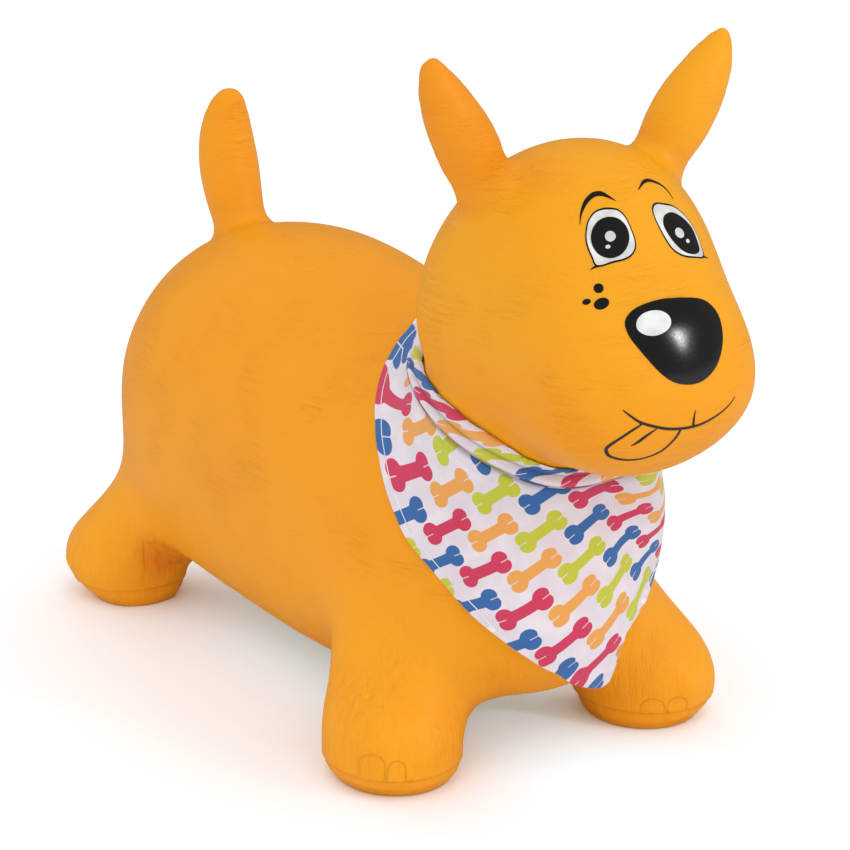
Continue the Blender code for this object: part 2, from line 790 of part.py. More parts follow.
def bandana_pieces(skin, head, cloth, tape):
    neck = Neck(skin, head)
    columns, rows = 42, 8
    points = []
    for r in range(rows + 1):
        row = []
        for k in range(columns + 1):
            turn = BIB_ANGLE * (2 * k / columns - 1)
            end = read_table(BIB_EDGE, turn)
            start = min(read_table(BAND_EDGE, turn) - 2, end - 4)
            fall = start + (end - start) * r / rows
            row.append(neck.point(turn, fall, bib_lift(turn, fall)))
        points.append(row)
    new_object("bandana_bib", cloth_solid(points, CLOTH, neck.hub), cloth)

    # the band goes round once, and its ends lie over each other at the nape, with the tape between
    columns, rows = 44, 6
    points = []
    for r in range(rows + 1):
        row = []
        for k in range(columns + 1):
            turn = -180 - CLOSURE_ANGLE + (360 + 2 * CLOSURE_ANGLE) * k / columns
            wrapped = (turn + 180) % 360 - 180
            low = read_table(BAND_EDGE, wrapped)
            over = smooth_step((turn - 150) / 17)
            # two rolls along the band, laid flat where its ends meet
            free = smooth_step((160 - abs(turn)) / 20)
            roll = BAND_ROLL * free * abs(math.sin(2 * math.pi * r / rows))
            lift = BAND_LIFT + over * (BAND_CLOTH + 2 * PATCH_CLOTH + 8 * SEAM_GAP)
            high = max(neck.top(wrapped, BAND_LIFT + BAND_CLOTH + BAND_ROLL), low - 18)
            row.append(neck.point(wrapped, high + (low - high) * r / rows, lift + roll))
        points.append(row)
    new_object("bandana_neck_band", cloth_solid(points, BAND_CLOTH, neck.hub), cloth)

    for name, level in (("bandana_loop_patch", 0), ("bandana_hook_patch", 1)):
        lift = BAND_LIFT + BAND_CLOTH + 2 * SEAM_GAP + level * (PATCH_CLOTH + 2 * SEAM_GAP)
        points = []
        for r in range(3):
            row = []
            for k in range(5):
                turn = 180 + (CLOSURE_ANGLE - 4) * (k / 2 - 1)
                wrapped = (turn + 180) % 360 - 180
                low = read_table(BAND_EDGE, wrapped) - 3
                row.append(neck.point(wrapped, low - 9 + 9 * r / 2, lift))
            points.append(row)
        new_object(name, cloth_solid(points, PATCH_CLOTH, neck.hub), tape)


def horn_on(surface, start, along, length, face, sizes, seat, shares):
    """A horn and the pivot of its ball, where a line from inside comes through the surface."""
    pivot = surface.ray_cast(start, along)[0] - along * seat
    width, thickness, radius = sizes
    horn = horn_form(pivot, along * length, face, width, thickness, shares)
    return boolean(horn, ball(pivot, radius), "UNION"), pivot


def valve_pieces(skin, torso, plastic):
    """The seat and the plug pushed into it. Returns the torso with a hole for the seat."""
    axis = Vector((0, math.sin(VALVE_TILT), -math.cos(VALVE_TILT)))
    face = surface_of(skin).ray_cast(Vector((0, BODY_REAR - VALVE_INSET, BACK_HEIGHT / 2)), axis)[0]
    print("valve", tuple(round(v, 5) for v in face), "axis", tuple(round(v, 4) for v in axis))

    def cut(mesh, low, radius):
        profile = ((low, radius), (OVERRUN, radius))
        return boolean(mesh, turned_form(profile, face, axis), "DIFFERENCE")

    seat = turned_form(((-SEAT_DEPTH, SEAT_RADIUS), (SEAT_LIP, SEAT_RADIUS)), face, axis)
    seat = cut(seat, -PLUG_FLANGE - SEAM_GAP, PLUG_HEAD + 2 * SEAM_GAP)
    seat = cut(seat, -SEAT_DEPTH - OVERRUN, PLUG_SHANK + SEAM_GAP)
    new_object("valve_seat", seat, plastic)
    plug = turned_form(
        (
            (-PLUG_LENGTH, 0),
            (-PLUG_LENGTH, PLUG_SHANK * 0.8),
            (-PLUG_FLANGE - PLUG_NECK, PLUG_SHANK),
            (-PLUG_FLANGE, PLUG_SHANK),
            (-PLUG_FLANGE, PLUG_HEAD),
            (PLUG_PROUD - PLUG_BEVEL / 2, PLUG_HEAD),
            (PLUG_PROUD, PLUG_HEAD - PLUG_BEVEL),
            (PLUG_PROUD, 0),
        ),
        face,
        axis,
    )
    new_object("valve_plug", plug, plastic, face)
    return cut(torso, -SEAT_DEPTH - SEAM_GAP, SEAT_RADIUS + SEAM_GAP)


def main():
    clear_scene()
    orange = make_material("orange_skin", (0.90, 0.36, 0.03), 0.42)
    black = make_material("black_paint", (0.013, 0.010, 0.009), 0.3)
    white = make_material("white_paint", (0.86, 0.84, 0.82), 0.35)
    cloth = make_material("printed_cotton", (0.82, 0.80, 0.80), 0.85)
    tape = make_material("hook_and_loop_tape", (0.78, 0.78, 0.78), 0.95)
    plastic = make_material("valve_plastic", (0.80, 0.80, 0.78), 0.4)

    skin = blended_skin()
    head = head_form()

    # legs and soles
    torso = boolean(skin.copy(), head_form(SEAM_GAP * 1.6), "DIFFERENCE")
    for end, place in ((-1, "front"), (1, "hind")):
        for side, name in ((1, "left"), (-1, "right")):
            axle = FRONT_AXLE if end < 0 else HIND_AXLE
            hip = Vector((side * leg_reach(end), end * axle, SOLE_HEIGHT))
            leg = boolean(skin.copy(), leg_wedge(side, end), "INTERSECT")
            new_object("leg_{}_{}".format(place, name), leg, orange, hip)
            sole = boolean(skin.copy(), sole_slab(side, end), "INTERSECT")
            sole = boolean(sole, sole_form(side, end), "INTERSECT")
            new_object("foot_{}_{}".format(place, name), sole, orange, Vector((hip.x, hip.y, 0)))

    # ears
    surface = surface_of(head)
    across, behind, above = EAR_ROOT_SHARES
    up = Vector((0, -math.sin(EAR_RAKE), math.cos(EAR_RAKE)))
    for side, name in ((1, "left"), (-1, "right")):
        offset = Vector((side * across * HEAD_WIDTH, behind * HEAD_LENGTH, above * HEAD_HEIGHT)) / 2
        start = head_turned(head_centre() + offset)
        lean = Vector((side * math.sin(EAR_LEAN), 0, 0)) + up * math.cos(EAR_LEAN)
        along = Matrix.Rotation(HEAD_TURN, 3, "Z") @ lean
        sizes = (EAR_WIDTH, EAR_THICKNESS, EAR_BALL)
        ear, pivot = horn_on(
            surface, start, along, EAR_LENGTH, Vector((side, 0, 0)), sizes, EAR_SEAT, EAR_SHARES
        )
        print("ear", name, tuple(round(v, 5) for v in pivot), "along", tuple(round(v, 4) for v in along))
        new_object("ear_" + name, ear, orange, pivot)
        head = boolean(head, ball(pivot, EAR_BALL + SEAM_GAP * 1.5), "DIFFERENCE")
    plain_head = head_form()
    new_object("head", head, orange, head_centre())

    # tail
    along = Vector((0, math.sin(TAIL_RAKE), math.cos(TAIL_RAKE)))
    start = Vector((0, BODY_REAR - TAIL_INSET, BACK_HEIGHT - TAIL_DEPTH))
    sizes = (TAIL_WIDTH, TAIL_THICKNESS, TAIL_BALL)
    tail, pivot = horn_on(
        surface_of(skin), start, along, TAIL_LENGTH, Vector((0, -1, 0)), sizes, TAIL_SEAT, TAIL_SHARES
    )
    print("tail", tuple(round(v, 5) for v in pivot), "along", tuple(round(v, 4) for v in along))
    new_object("tail", tail, orange, pivot)
    torso = boolean(torso, ball(pivot, TAIL_BALL + SEAM_GAP * 1.5), "DIFFERENCE")

    torso = valve_pieces(skin, torso, plastic)
    for end in (-1, 1):
        for side in (1, -1):
            torso = boolean(torso, leg_wedge(side, end, SEAM_GAP), "DIFFERENCE")
    new_object("torso", torso, orange, Vector((0, 0, BACK_HEIGHT / 2)))

    face_pieces(plain_head, black, white)
    bandana_pieces(skin, plain_head, cloth, tape)


main()
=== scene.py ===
import json
import math
import bpy
import numpy as np
from mathutils import Matrix, Vector
from mathutils.bvhtree import BVHTree

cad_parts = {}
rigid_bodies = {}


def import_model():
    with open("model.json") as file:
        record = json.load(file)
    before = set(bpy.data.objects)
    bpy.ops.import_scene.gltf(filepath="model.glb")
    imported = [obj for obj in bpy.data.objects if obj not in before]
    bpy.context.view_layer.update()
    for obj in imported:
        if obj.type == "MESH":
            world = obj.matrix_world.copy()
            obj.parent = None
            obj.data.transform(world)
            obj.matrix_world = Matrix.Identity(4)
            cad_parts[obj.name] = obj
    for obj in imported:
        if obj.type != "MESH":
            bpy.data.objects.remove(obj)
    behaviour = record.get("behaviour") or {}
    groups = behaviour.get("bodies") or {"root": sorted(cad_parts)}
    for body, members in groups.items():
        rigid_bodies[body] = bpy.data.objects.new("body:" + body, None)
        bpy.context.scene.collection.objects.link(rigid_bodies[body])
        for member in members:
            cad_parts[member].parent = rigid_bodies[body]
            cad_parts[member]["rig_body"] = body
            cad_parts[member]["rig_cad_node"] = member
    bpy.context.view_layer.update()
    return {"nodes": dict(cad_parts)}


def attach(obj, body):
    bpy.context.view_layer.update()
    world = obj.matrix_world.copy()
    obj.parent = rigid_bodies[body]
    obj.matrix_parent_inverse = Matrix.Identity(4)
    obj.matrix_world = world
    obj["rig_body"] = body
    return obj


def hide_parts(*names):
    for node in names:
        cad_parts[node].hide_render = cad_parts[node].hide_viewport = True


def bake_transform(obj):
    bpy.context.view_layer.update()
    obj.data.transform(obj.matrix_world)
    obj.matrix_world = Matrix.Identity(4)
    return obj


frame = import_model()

# where the picture was taken from
camera = {
    "aim": (-0.0037, -0.0120, 0.1679),
    "around": -31.5434,
    "above": 17.467,
    "distance": 1.6332,
    "slide": (0.0013254, 0.0008788),
    "roll": -0.2273,
    "lens": 113.641,
    "film": 36.0,
    "farEnd": 60.0,
}
studio = {
    "floorSize": 30.0,
    "floorGrey": 0.92,
    # the camera sees a white floor, toned against the orange light that the skin throws down; under the body it is
    # painted lighter and cooler, a painted light that lifts the shadow there
    "floorSeen": (1.01, 1.05, 1.09),
    "floorLiftUnder": (1.45, 2.75, 3.80),
    "underAt": (0.01, 0.05),
    "underReach": (0.085, 0.21),
    "underFade": 1.235,
    "underEdge": 1.1,
    "floorGloss": 0.45,
    "skyStrength": 0.96,
    "skyGloss": 0.18,
    "sunStrength": 0.36,
    "sunFrom": (-0.30, -0.62, 1.0),
    "sunWidth": 60.0,
    "softboxPlace": (0.776, -1.530, 0.889),
    "softboxAim": (0, -0.2, 0.25),
    "softboxSize": 0.21,
    "softboxPower": 3.1,
}


# small helpers
def letGo():
    if bpy.context.object and bpy.context.object.mode != "OBJECT":
        bpy.ops.object.mode_set(mode="OBJECT")
    bpy.ops.object.select_all(action="DESELECT")


def pick(*objs):
    letGo()
    for o in objs:
        o.select_set(True)
    bpy.context.view_layer.objects.active = objs[0]


def editAll(obj):
    # edit mode with the whole mesh selected
    pick(obj)
    bpy.ops.object.mode_set(mode="EDIT")
    bpy.ops.mesh.select_all(action="SELECT")


def editDone():
    bpy.ops.object.mode_set(mode="OBJECT")


def editOnly(obj, kind, chosen):
    # edit mode with only the chosen points or faces selected
    pick(obj)
    bpy.ops.object.mode_set(mode="EDIT")
    bpy.ops.mesh.select_mode(type=kind)
    bpy.ops.mesh.select_all(action="DESELECT")
    editDone()
    items = obj.data.vertices if kind == "VERT" else obj.data.polygons
    items.foreach_set("select", chosen)
    bpy.ops.object.mode_set(mode="EDIT")


def turnOver(obj):
    editAll(obj)
    bpy.ops.mesh.flip_normals()
    editDone()


def addModifier(obj, name, kind, **settings):
    made = obj.modifiers.new(name, kind)
    for key, value in settings.items():
        setattr(made, key, value)


def applyAll(obj):
    pick(obj)
    for m in list(obj.modifiers):
        bpy.ops.object.modifier_apply(modifier=m.name)


def copyOf(node):
    src = frame["nodes"][node]
    obj = src.copy()
    obj.data = src.data.copy()
    obj.parent = None
    obj.hide_viewport = obj.hide_render = False
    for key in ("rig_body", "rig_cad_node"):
        if key in obj:
            del obj[key]
    bpy.context.scene.collection.objects.link(obj)
    return obj


def readEach(items, field, width=3, kind=float):
    values = np.empty(len(items) * width, kind)
    items.foreach_get(field, values)
    return values.reshape(-1, width)


def readPlaces(obj):
    return readEach(obj.data.vertices, "co")


def setPlaces(obj, co):
    obj.data.vertices.foreach_set("co", np.ascontiguousarray(co, dtype=np.float64).ravel())
    obj.data.update()


def surfaceOf(obj):
    faces = [tuple(p.vertices) for p in obj.data.polygons]
    return BVHTree.FromPolygons([v.co.copy() for v in obj.data.vertices], faces)


def smoothStep(t):
    t = np.clip(t, 0.0, 1.0)
    return t * t * (3 - 2 * t)


def growing(at, start, over):
    return smoothStep((at - start) / over)


def fading(at, end, over):
    return smoothStep((end - at) / over)


def bell(at, middle, half):
    return math.exp(-(((at - middle) / half) ** 2))


def splineThrough(points, steps, closed=False):
    pts = [np.array(p, float) for p in points]
    n = len(pts)
    drawn = []
    for i in range(n if closed else n - 1):
        p = [pts[k % n if closed else min(max(k, 0), n - 1)] for k in range(i - 1, i + 3)]
        for k in range(steps):
            t = k / steps
            drawn.append(0.5 * (2 * p[1] + (p[2] - p[0]) * t + (2 * p[0] - 5 * p[1] + 4 * p[2] - p[3]) * t * t
                                + (3 * p[1] - p[0] - 3 * p[2] + p[3]) * t ** 3))
    if not closed:
        drawn.append(pts[-1])
    return np.array(drawn)


# node maths: a Wire is one value in a node tree, Nodes is the tree and a Paint is a material
class Wire:
    def __init__(self, nodes, socket):
        self.nodes, self.socket = nodes, socket

    def math(self, kind, *others):
        return self.nodes.node("ShaderNodeMath", {"operation": kind}, [self, *others])

    def __add__(self, o): return self.math("ADD", o)
    def __radd__(self, o): return self.math("ADD", o)
    def __sub__(self, o): return self.math("SUBTRACT", o)
    def __rsub__(self, o): return self.nodes.node("ShaderNodeMath", {"operation": "SUBTRACT"}, [o, self])
    def __mul__(self, o): return self.math("MULTIPLY", o)
    def __truediv__(self, o): return self.math("DIVIDE", o)
    def __neg__(self): return self.math("MULTIPLY", -1.0)
    def __abs__(self): return self.math("ABSOLUTE")
    def under(self, o): return self.math("LESS_THAN", o)
    def over(self, o): return self.math("GREATER_THAN", o)
    def least(self, o): return self.math("MINIMUM", o)
    def most(self, o): return self.math("MAXIMUM", o)
    def power(self, o): return self.math("POWER", o)

    def ramp(self, low, high):
        return self.nodes.node("ShaderNodeMapRange", {"interpolation_type": "SMOOTHSTEP"},
                               {"Value": self, "From Min": low, "From Max": high})


class Nodes:
    def __init__(self, owner):
        owner.use_nodes = True
        self.tree = owner.node_tree

    def feed(self, socket, value):
        if isinstance(value, Wire):
            self.tree.links.new(value.socket, socket)
        else:
            socket.default_value = value

    def node(self, kind, settings=None, values=None, out=0):
        made = self.tree.nodes.new(kind)
        for key, value in (settings or {}).items():
            setattr(made, key, value)
        pairs = values.items() if isinstance(values, dict) else enumerate(values or [])
        for key, value in pairs:
            self.feed(made.inputs[key], value)
        return Wire(self, made.outputs[out])

    def ray(self, kind):
        return self.node("ShaderNodeLightPath", out="Is " + kind + " Ray")

    def mix(self, share, a, b):
        made = self.tree.nodes.new("ShaderNodeMix")
        made.data_type = "RGBA"
        self.feed(made.inputs[0], share)
        self.feed(made.inputs[6], a if isinstance(a, Wire) else (*a, 1))
        self.feed(made.inputs[7], b if isinstance(b, Wire) else (*b, 1))
        return Wire(self, made.outputs[2])


class Paint(Nodes):
    def __init__(self, name, colour, roughness):
        self.material = bpy.data.materials.new(name)
        super().__init__(self.material)
        self.shader = self.tree.nodes["Principled BSDF"]
        self.steady({"Base Color": (*colour, 1), "Roughness": roughness})
        self.material.diffuse_color = (*colour, 1)

    def place(self):
        return self.node("ShaderNodeTexCoord", out="Object")

    def parts(self, vector):
        made = self.tree.nodes.new("ShaderNodeSeparateXYZ")
        self.feed(made.inputs[0], vector)
        return [Wire(self, made.outputs[i]) for i in range(3)]

    def scaled(self, vector, size, turn=(0, 0, 0)):
        return self.node("ShaderNodeMapping", None, {"Vector": vector, "Rotation": turn, "Scale": size})

    def noise(self, vector, scale, detail=2.0, rough=0.5, bend=0.0):
        return self.node("ShaderNodeTexNoise", None, {"Vector": vector, "Scale": scale, "Detail": detail,
                                                      "Roughness": rough, "Distortion": bend})

    def tint(self, share, a, b):
        # a mix of screen colours, or of a wire and a screen colour
        return self.mix(share, *(c if isinstance(c, Wire) else shade(*c) for c in (a, b)))

    def colour(self, wire):
        self.feed(self.shader.inputs["Base Color"], wire)

    def roughness(self, wire):
        self.feed(self.shader.inputs["Roughness"], wire)

    def steady(self, values):
        for key, value in values.items():
            self.shader.inputs[key].default_value = value

    def bump(self, height, depth):
        raised = self.node("ShaderNodeBump", None, {"Strength": 1.0, "Distance": depth, "Height": height})
        self.feed(self.shader.inputs["Normal"], raised)


def shade(r, g, b):
    # a colour as a screen gives it, in Blender's own light values
    return tuple(c / 12.92 if c <= 0.04045 else ((c + 0.055) / 1.055) ** 2.4 for c in (r / 255, g / 255, b / 255))


bpy.context.scene.view_settings.view_transform = "Standard"


def setCamera(c):
    a, e, q = (math.radians(v) for v in (c["around"], c["above"], c["roll"]))
    back = Vector((math.sin(a) * math.cos(e), -math.cos(a) * math.cos(e), math.sin(e)))
    right = Vector((math.cos(a), math.sin(a), 0.0))
    up = back.cross(right)
    right, up = (right * math.cos(q) + up * math.sin(q), up * math.cos(q) - right * math.sin(q))
    eye = Vector(c["aim"]) + back * c["distance"] + right * c["slide"][0] + up * c["slide"][1]
    bpy.ops.object.camera_add(location=eye)
    cam = bpy.context.object
    cam.name = "shootingCamera"
    cam.matrix_world = Matrix.Translation(eye) @ Matrix((right, up, back)).transposed().to_4x4()
    cam.data.lens = c["lens"]
    cam.data.sensor_width = c["film"]
    cam.data.clip_end = c["farEnd"]
    bpy.context.scene.camera = cam


def setStudio(s):
    letGo()
    bpy.ops.mesh.primitive_plane_add(size=s["floorSize"], location=(0, 0, 0))
    floor = bpy.context.object
    floor.name = "studioFloor"
    bpy.ops.object.transform_apply(location=True, rotation=True, scale=True)
    grey = (s["floorGrey"],) * 3
    paint = Paint("paperFloor", grey, 0.9)
    x, y, _ = paint.parts(paint.place())
    # painted light: the floor under the body is made lighter and cooler where its shadow falls
    x, y = (x - s["underAt"][0]) / s["underReach"][0], (y - s["underAt"][1]) / s["underReach"][1]
    under = (-((x * x + y * y) * s["underFade"]).power(s["underEdge"])).math("EXPONENT")
    seen = paint.mix(under, s["floorSeen"], s["floorLiftUnder"])
    plain = paint.mix(paint.ray("Glossy"), grey, (s["floorGloss"],) * 3)
    paint.colour(paint.mix(paint.ray("Camera"), plain, seen))
    paint.steady({"Specular IOR Level": 0.0})
    floor.data.materials.append(paint.material)

    # the sky lights the part at its own strength, and is plain white where the camera or glass looks at it
    world = bpy.data.worlds.new("softSky")
    bpy.context.scene.world = world
    sky = Nodes(world)
    light = sky.node("ShaderNodeMapRange", None, {"Value": sky.ray("Glossy"), "To Min": s["skyStrength"],
                                                  "To Max": s["skyGloss"]})
    seen = sky.ray("Camera").most(sky.ray("Transmission"))
    level = sky.node("ShaderNodeMapRange", None, {"Value": seen, "To Min": light, "To Max": 1.0})
    background = sky.tree.nodes["Background"]
    sky.feed(background.inputs["Strength"], level)
    background.inputs["Color"].default_value = (1, 1, 1, 1)

    bpy.ops.object.light_add(type="SUN", location=Vector(s["sunFrom"]) * 2)
    sun = bpy.context.object
    sun.name = "keyLight"
    sun.data.energy = s["sunStrength"]
    sun.data.angle = math.radians(s["sunWidth"])
    sun.visible_glossy = False
    sun.rotation_euler = Vector(s["sunFrom"]).to_track_quat("Z", "Y").to_euler()
    bpy.ops.object.light_add(type="AREA", location=s["softboxPlace"])
    box = bpy.context.object
    box.name = "softbox"
    box.data.shape = "DISK"
    box.data.size = s["softboxSize"]
    box.data.energy = s["softboxPower"]
    box.rotation_euler = (Vector(s["softboxPlace"]) - Vector(s["softboxAim"])).to_track_quat("Z", "Y").to_euler()


print("camera and studio")
setCamera(camera)
setStudio(studio)


# the blown skin: one closed form, worked over from the frame's own pieces
skinForm = {
    "from": ("torso", "head", "tail", "ear_left", "ear_right",
             "leg_front_left", "leg_front_right", "leg_hind_left", "leg_hind_right",
             "foot_front_left", "foot_front_right", "foot_hind_left", "foot_hind_right"),
    "merge": 0.00002,
    "swell": 0.00025,
    "voxel": 0.0046,
    "rounds": 22,
    "fill": 0.0007,
    # slender parts keep more of their form than the big rounds do
    "hornKeep": 0.72,
    "hornKeepOver": 0.02,
    "hornKeepWide": 0.060,
    "footKeep": 0.80,
    "footTop": 0.040,
    "footOver": 0.030,
    "footOut": 0.045,
    "leastEase": 0.05,
    # crowded points at the ear tips are merged, so that they don't stand out as corners
    "mergeAbove": 0.395,
    "mergeNear": 0.0026,
}
# the ears and the tail: where each is rooted and points, and how far up it is kept, cut off and bent
hornPlaces = {
    "earLeft": {
        "node": "ear_left", "pivot": (0.05413, -0.1616, 0.34676), "axis": (0.488, -0.1124, 0.8656),
        "keepFrom": 0.002, "cutAt": 0.016, "bend": (0.020, 0.042),
        "longer": 0.027, "slimmer": -0.01, "shift": (-0.0010, 0, 0),
    },
    "earRight": {
        "node": "ear_right", "pivot": (-0.05193, -0.15697, 0.34678), "axis": (-0.4959, -0.0694, 0.8656),
        "keepFrom": 0.002, "cutAt": 0.016, "bend": (0.020, 0.042),
        "longer": 0.017, "slimmer": 0.06, "shift": (0.0016, -0.0009, 0),
    },
    "tailHorn": {
        "node": "tail", "pivot": (0.0, 0.22246, 0.23837), "axis": (0.0, 0.1564, 0.9877),
        "keepFrom": 0.004, "cutAt": 0.020, "bend": (0.024, 0.048),
        "longer": 0.044, "slimmer": 0.02, "shift": (0, 0, 0),
    },
}
hornWide = 0.062  # skin this near to the axis, above its root, belongs to the horn


def splitAlong(co, horn):
    # how far each point is along the horn's axis, and its way off the axis
    axis = np.array(horn["axis"])
    rel = co - np.array(horn["pivot"])
    along = rel @ axis
    return along, rel - along[:, None] * axis


def makeSkin(s):
    copies = [copyOf(n) for n in s["from"]]
    for c in copies:
        editAll(c)
        bpy.ops.mesh.remove_doubles(threshold=s["merge"])
        editDone()
        addModifier(c, "swell", "DISPLACE", mid_level=0.0, strength=s["swell"])
        applyAll(c)
    pick(*copies)
    bpy.ops.object.join()
    skin = bpy.context.object
    skin.name = skin.data.name = "skin"
    addModifier(skin, "melt", "REMESH", mode="VOXEL", voxel_size=s["voxel"], use_smooth_shade=True)
    applyAll(skin)

    co = readPlaces(skin)
    keep = np.ones(len(co))
    for horn in hornPlaces.values():
        along, side = splitAlong(co, horn)
        near = np.linalg.norm(side, axis=1) < s["hornKeepWide"]
        keep -= s["hornKeep"] * growing(along, horn["keepFrom"], s["hornKeepOver"]) * near
    keep -= s["footKeep"] * fading(co[:, 2], s["footTop"], s["footOver"]) * (np.abs(co[:, 0]) > s["footOut"])
    group = skin.vertex_groups.new(name="softness")
    for i, w in enumerate(keep):
        group.add((i,), float(max(w, s["leastEase"])), "REPLACE")
    addModifier(skin, "ease", "SMOOTH", factor=0.5, iterations=s["rounds"], vertex_group="softness")
    addModifier(skin, "fill", "DISPLACE", mid_level=0.0, strength=s["fill"])
    applyAll(skin)
    editOnly(skin, "VERT", readPlaces(skin)[:, 2] > s["mergeAbove"])
    bpy.ops.mesh.remove_doubles(threshold=s["mergeNear"])
    editDone()
    addModifier(skin, "finer", "SUBSURF", levels=1, render_levels=1)
    applyAll(skin)
    skin.vertex_groups.clear()
    return skin


skinRelief = {
    "soles": 0.0034,
    "feet": ((-0.0865, -0.1165), (0.0865, -0.1165), (-0.0865, 0.2050), (0.0865, 0.2050)),
    # the hind feet draw in towards the sole: how much, from what height and over what height
    "hindFrom": 0.10,
    "hindPinch": 0.24,
    "pinchTop": 0.062,
    "pinchOver": 0.050,
    "hindTaper": 0.20,
    "taperTop": 0.026,
    "taperOut": 0.03,
    "taperCurve": 1.4,
    "tipFrom": 0.066,
    "tipOver": 0.010,
    "tipReach": 0.110,
    "tipRounds": 16,
    "stretchFrom": 0.008,
    "stretchOver": 0.035,
    "welt": 0.0135,
    "weltNear": 0.00115,
    "weltOut": 0.0006,
    "weltAbove": 0.004,
    "weltBelow": 0.0035,
    "legOut": 0.040,
    "creases": (
        # centre, half size along x, y and z, depth: folds where a leg, an ear or the tail leaves the body
        ((-0.080, 0.166, 0.060), (0.010, 0.0045, 0.020), -0.0016),
        ((-0.083, 0.174, 0.040), (0.010, 0.0040, 0.018), -0.0016),
        ((-0.090, 0.182, 0.028), (0.010, 0.0036, 0.014), -0.0014),
        ((0.080, 0.166, 0.060), (0.010, 0.0045, 0.020), -0.0016),
        ((0.083, 0.174, 0.040), (0.010, 0.0040, 0.018), -0.0016),
        ((0.0, 0.2180, 0.2420), (0.030, 0.0050, 0.0040), -0.0016),
        ((-0.020, 0.2160, 0.2340), (0.016, 0.0060, 0.0036), -0.0012),
        ((-0.070, -0.1560, 0.3380), (0.010, 0.0200, 0.0032), -0.0012),
        ((0.070, -0.1560, 0.3380), (0.010, 0.0200, 0.0032), -0.0012),
    ),
}


def workSkin(skin, s):
    co, n = readPlaces(skin), readEach(skin.data.vertices, "normal")
    move = np.zeros_like(co)
    for centre, reach, depth in s["creases"]:
        off = (co - np.array(centre)) / np.array(reach)
        move += n * (depth * np.exp(-(off * off).sum(1)))[:, None]
    co = co + move
    # the hind feet draw in on the side that faces forward, and taper all round at the sole
    for fx, fy in s["feet"][2:]:
        foot = np.array((fx, fy))
        hind = (np.sign(co[:, 0]) == np.sign(fx)) & (co[:, 1] > s["hindFrom"])
        own = hind & (co[:, 1] < fy) & (co[:, 2] < s["pinchTop"])
        share = fading(co[:, 2], s["pinchTop"], s["pinchOver"]) * s["hindPinch"]
        co[own, 1] = fy + (co[own, 1] - fy) * (1 - share[own])
        own = hind & (co[:, 2] < s["taperTop"]) & (np.abs(co[:, 0]) > s["taperOut"])
        share = s["hindTaper"] * np.clip((s["taperTop"] - co[:, 2]) / s["taperTop"], 0, 1) ** s["taperCurve"]
        co[own, :2] = (foot + (co[:, :2] - foot) * (1 - share[:, None]))[own]
    # the horns get round tips and take back the length that the smoothing cost them
    ends = readEach(skin.data.edges, "vertices", 2, int)
    for horn in hornPlaces.values():
        along, _ = splitAlong(co, horn)
        tip = growing(along, s["tipFrom"], s["tipOver"])
        tip *= np.linalg.norm(co - np.array(horn["pivot"]), axis=1) < s["tipReach"]
        own = ends[(tip[ends] > 0).any(axis=1)]
        count = np.maximum(np.bincount(own.ravel(), minlength=len(co)), 1)[:, None]
        for _ in range(s["tipRounds"]):
            total = np.zeros_like(co)
            np.add.at(total, own[:, 0], co[own[:, 1]])
            np.add.at(total, own[:, 1], co[own[:, 0]])
            co = co + (total / count - co) * (tip * 0.5)[:, None]
        along, side = splitAlong(co, horn)
        share = growing(along, s["stretchFrom"], s["stretchOver"]) * (np.linalg.norm(side, axis=1) < hornWide)
        longer = np.array(horn["axis"]) * (along * horn["longer"])[:, None]
        co += share[:, None] * (longer - side * horn["slimmer"] + np.array(horn["shift"]))
    # a crisp welt where the wall of the foot meets the sole
    leg = (np.abs(co[:, 0]) > s["legOut"]) & (np.abs(n[:, 2]) < 0.93)
    near = leg & (np.abs(co[:, 2] - s["welt"]) < s["weltNear"])
    co[near, 2] = s["welt"]
    for fx, fy in s["feet"]:
        own = leg & (np.sign(co[:, 0]) == np.sign(fx)) & (np.sign(co[:, 1]) == np.sign(fy)) & (co[:, 2] < 0.03)
        out = co[:, :2] - np.array((fx, fy))
        out /= np.maximum(np.linalg.norm(out, axis=1), 1e-6)[:, None]
        height = co[:, 2] - s["welt"]
        above = co[:, 2] >= s["welt"] - 1e-6
        lip = np.where(above, np.exp(-((height / s["weltAbove"]) ** 2)), 0.0)
        under = np.where(above, 0.0, np.exp(-((height / s["weltBelow"]) ** 2)))
        co[own, :2] += out[own] * (s["weltOut"] * (lip - 0.5 * under))[own][:, None]
    # the soles settle flat on the floor
    flat = co[:, 2] * smoothStep(co[:, 2] / s["soles"]) ** 2
    co[:, 2] = np.where(co[:, 2] < s["soles"], flat, co[:, 2])
    setPlaces(skin, co)


print("skin")
skin = makeSkin(skinForm)
workSkin(skin, skinRelief)
print("skin has", len(skin.data.polygons), "faces")
skinSurface = surfaceOf(skin)


def partHorns(skin):
    # the ears and the tail come off the skin along its own edges, each as a piece of its own
    normals = skin.data.attributes.new("wholeNormal", "FLOAT_VECTOR", "POINT")
    normals.data.foreach_set("vector", readEach(skin.data.vertices, "normal").astype(np.float32).ravel())
    made = {}
    for name, horn in hornPlaces.items():
        along, side = splitAlong(readEach(skin.data.polygons, "center"), horn)
        editOnly(skin, "FACE", (along > horn["cutAt"]) & (np.linalg.norm(side, axis=1) < hornWide))
        bpy.ops.mesh.separate(type="SELECTED")
        editDone()
        piece = [o for o in bpy.context.selected_objects if o is not skin][0]
        piece.name = piece.data.name = name
        made[name] = piece
    for piece in (skin, *made.values()):
        layer = piece.data.attributes["wholeNormal"]
        whole = readEach(layer.data, "vector", 3, np.float32)
        piece.data.normals_split_custom_set_from_vertices(whole.tolist())
        piece.data.attributes.remove(piece.data.attributes["wholeNormal"])
    return made


horns = partHorns(skin)


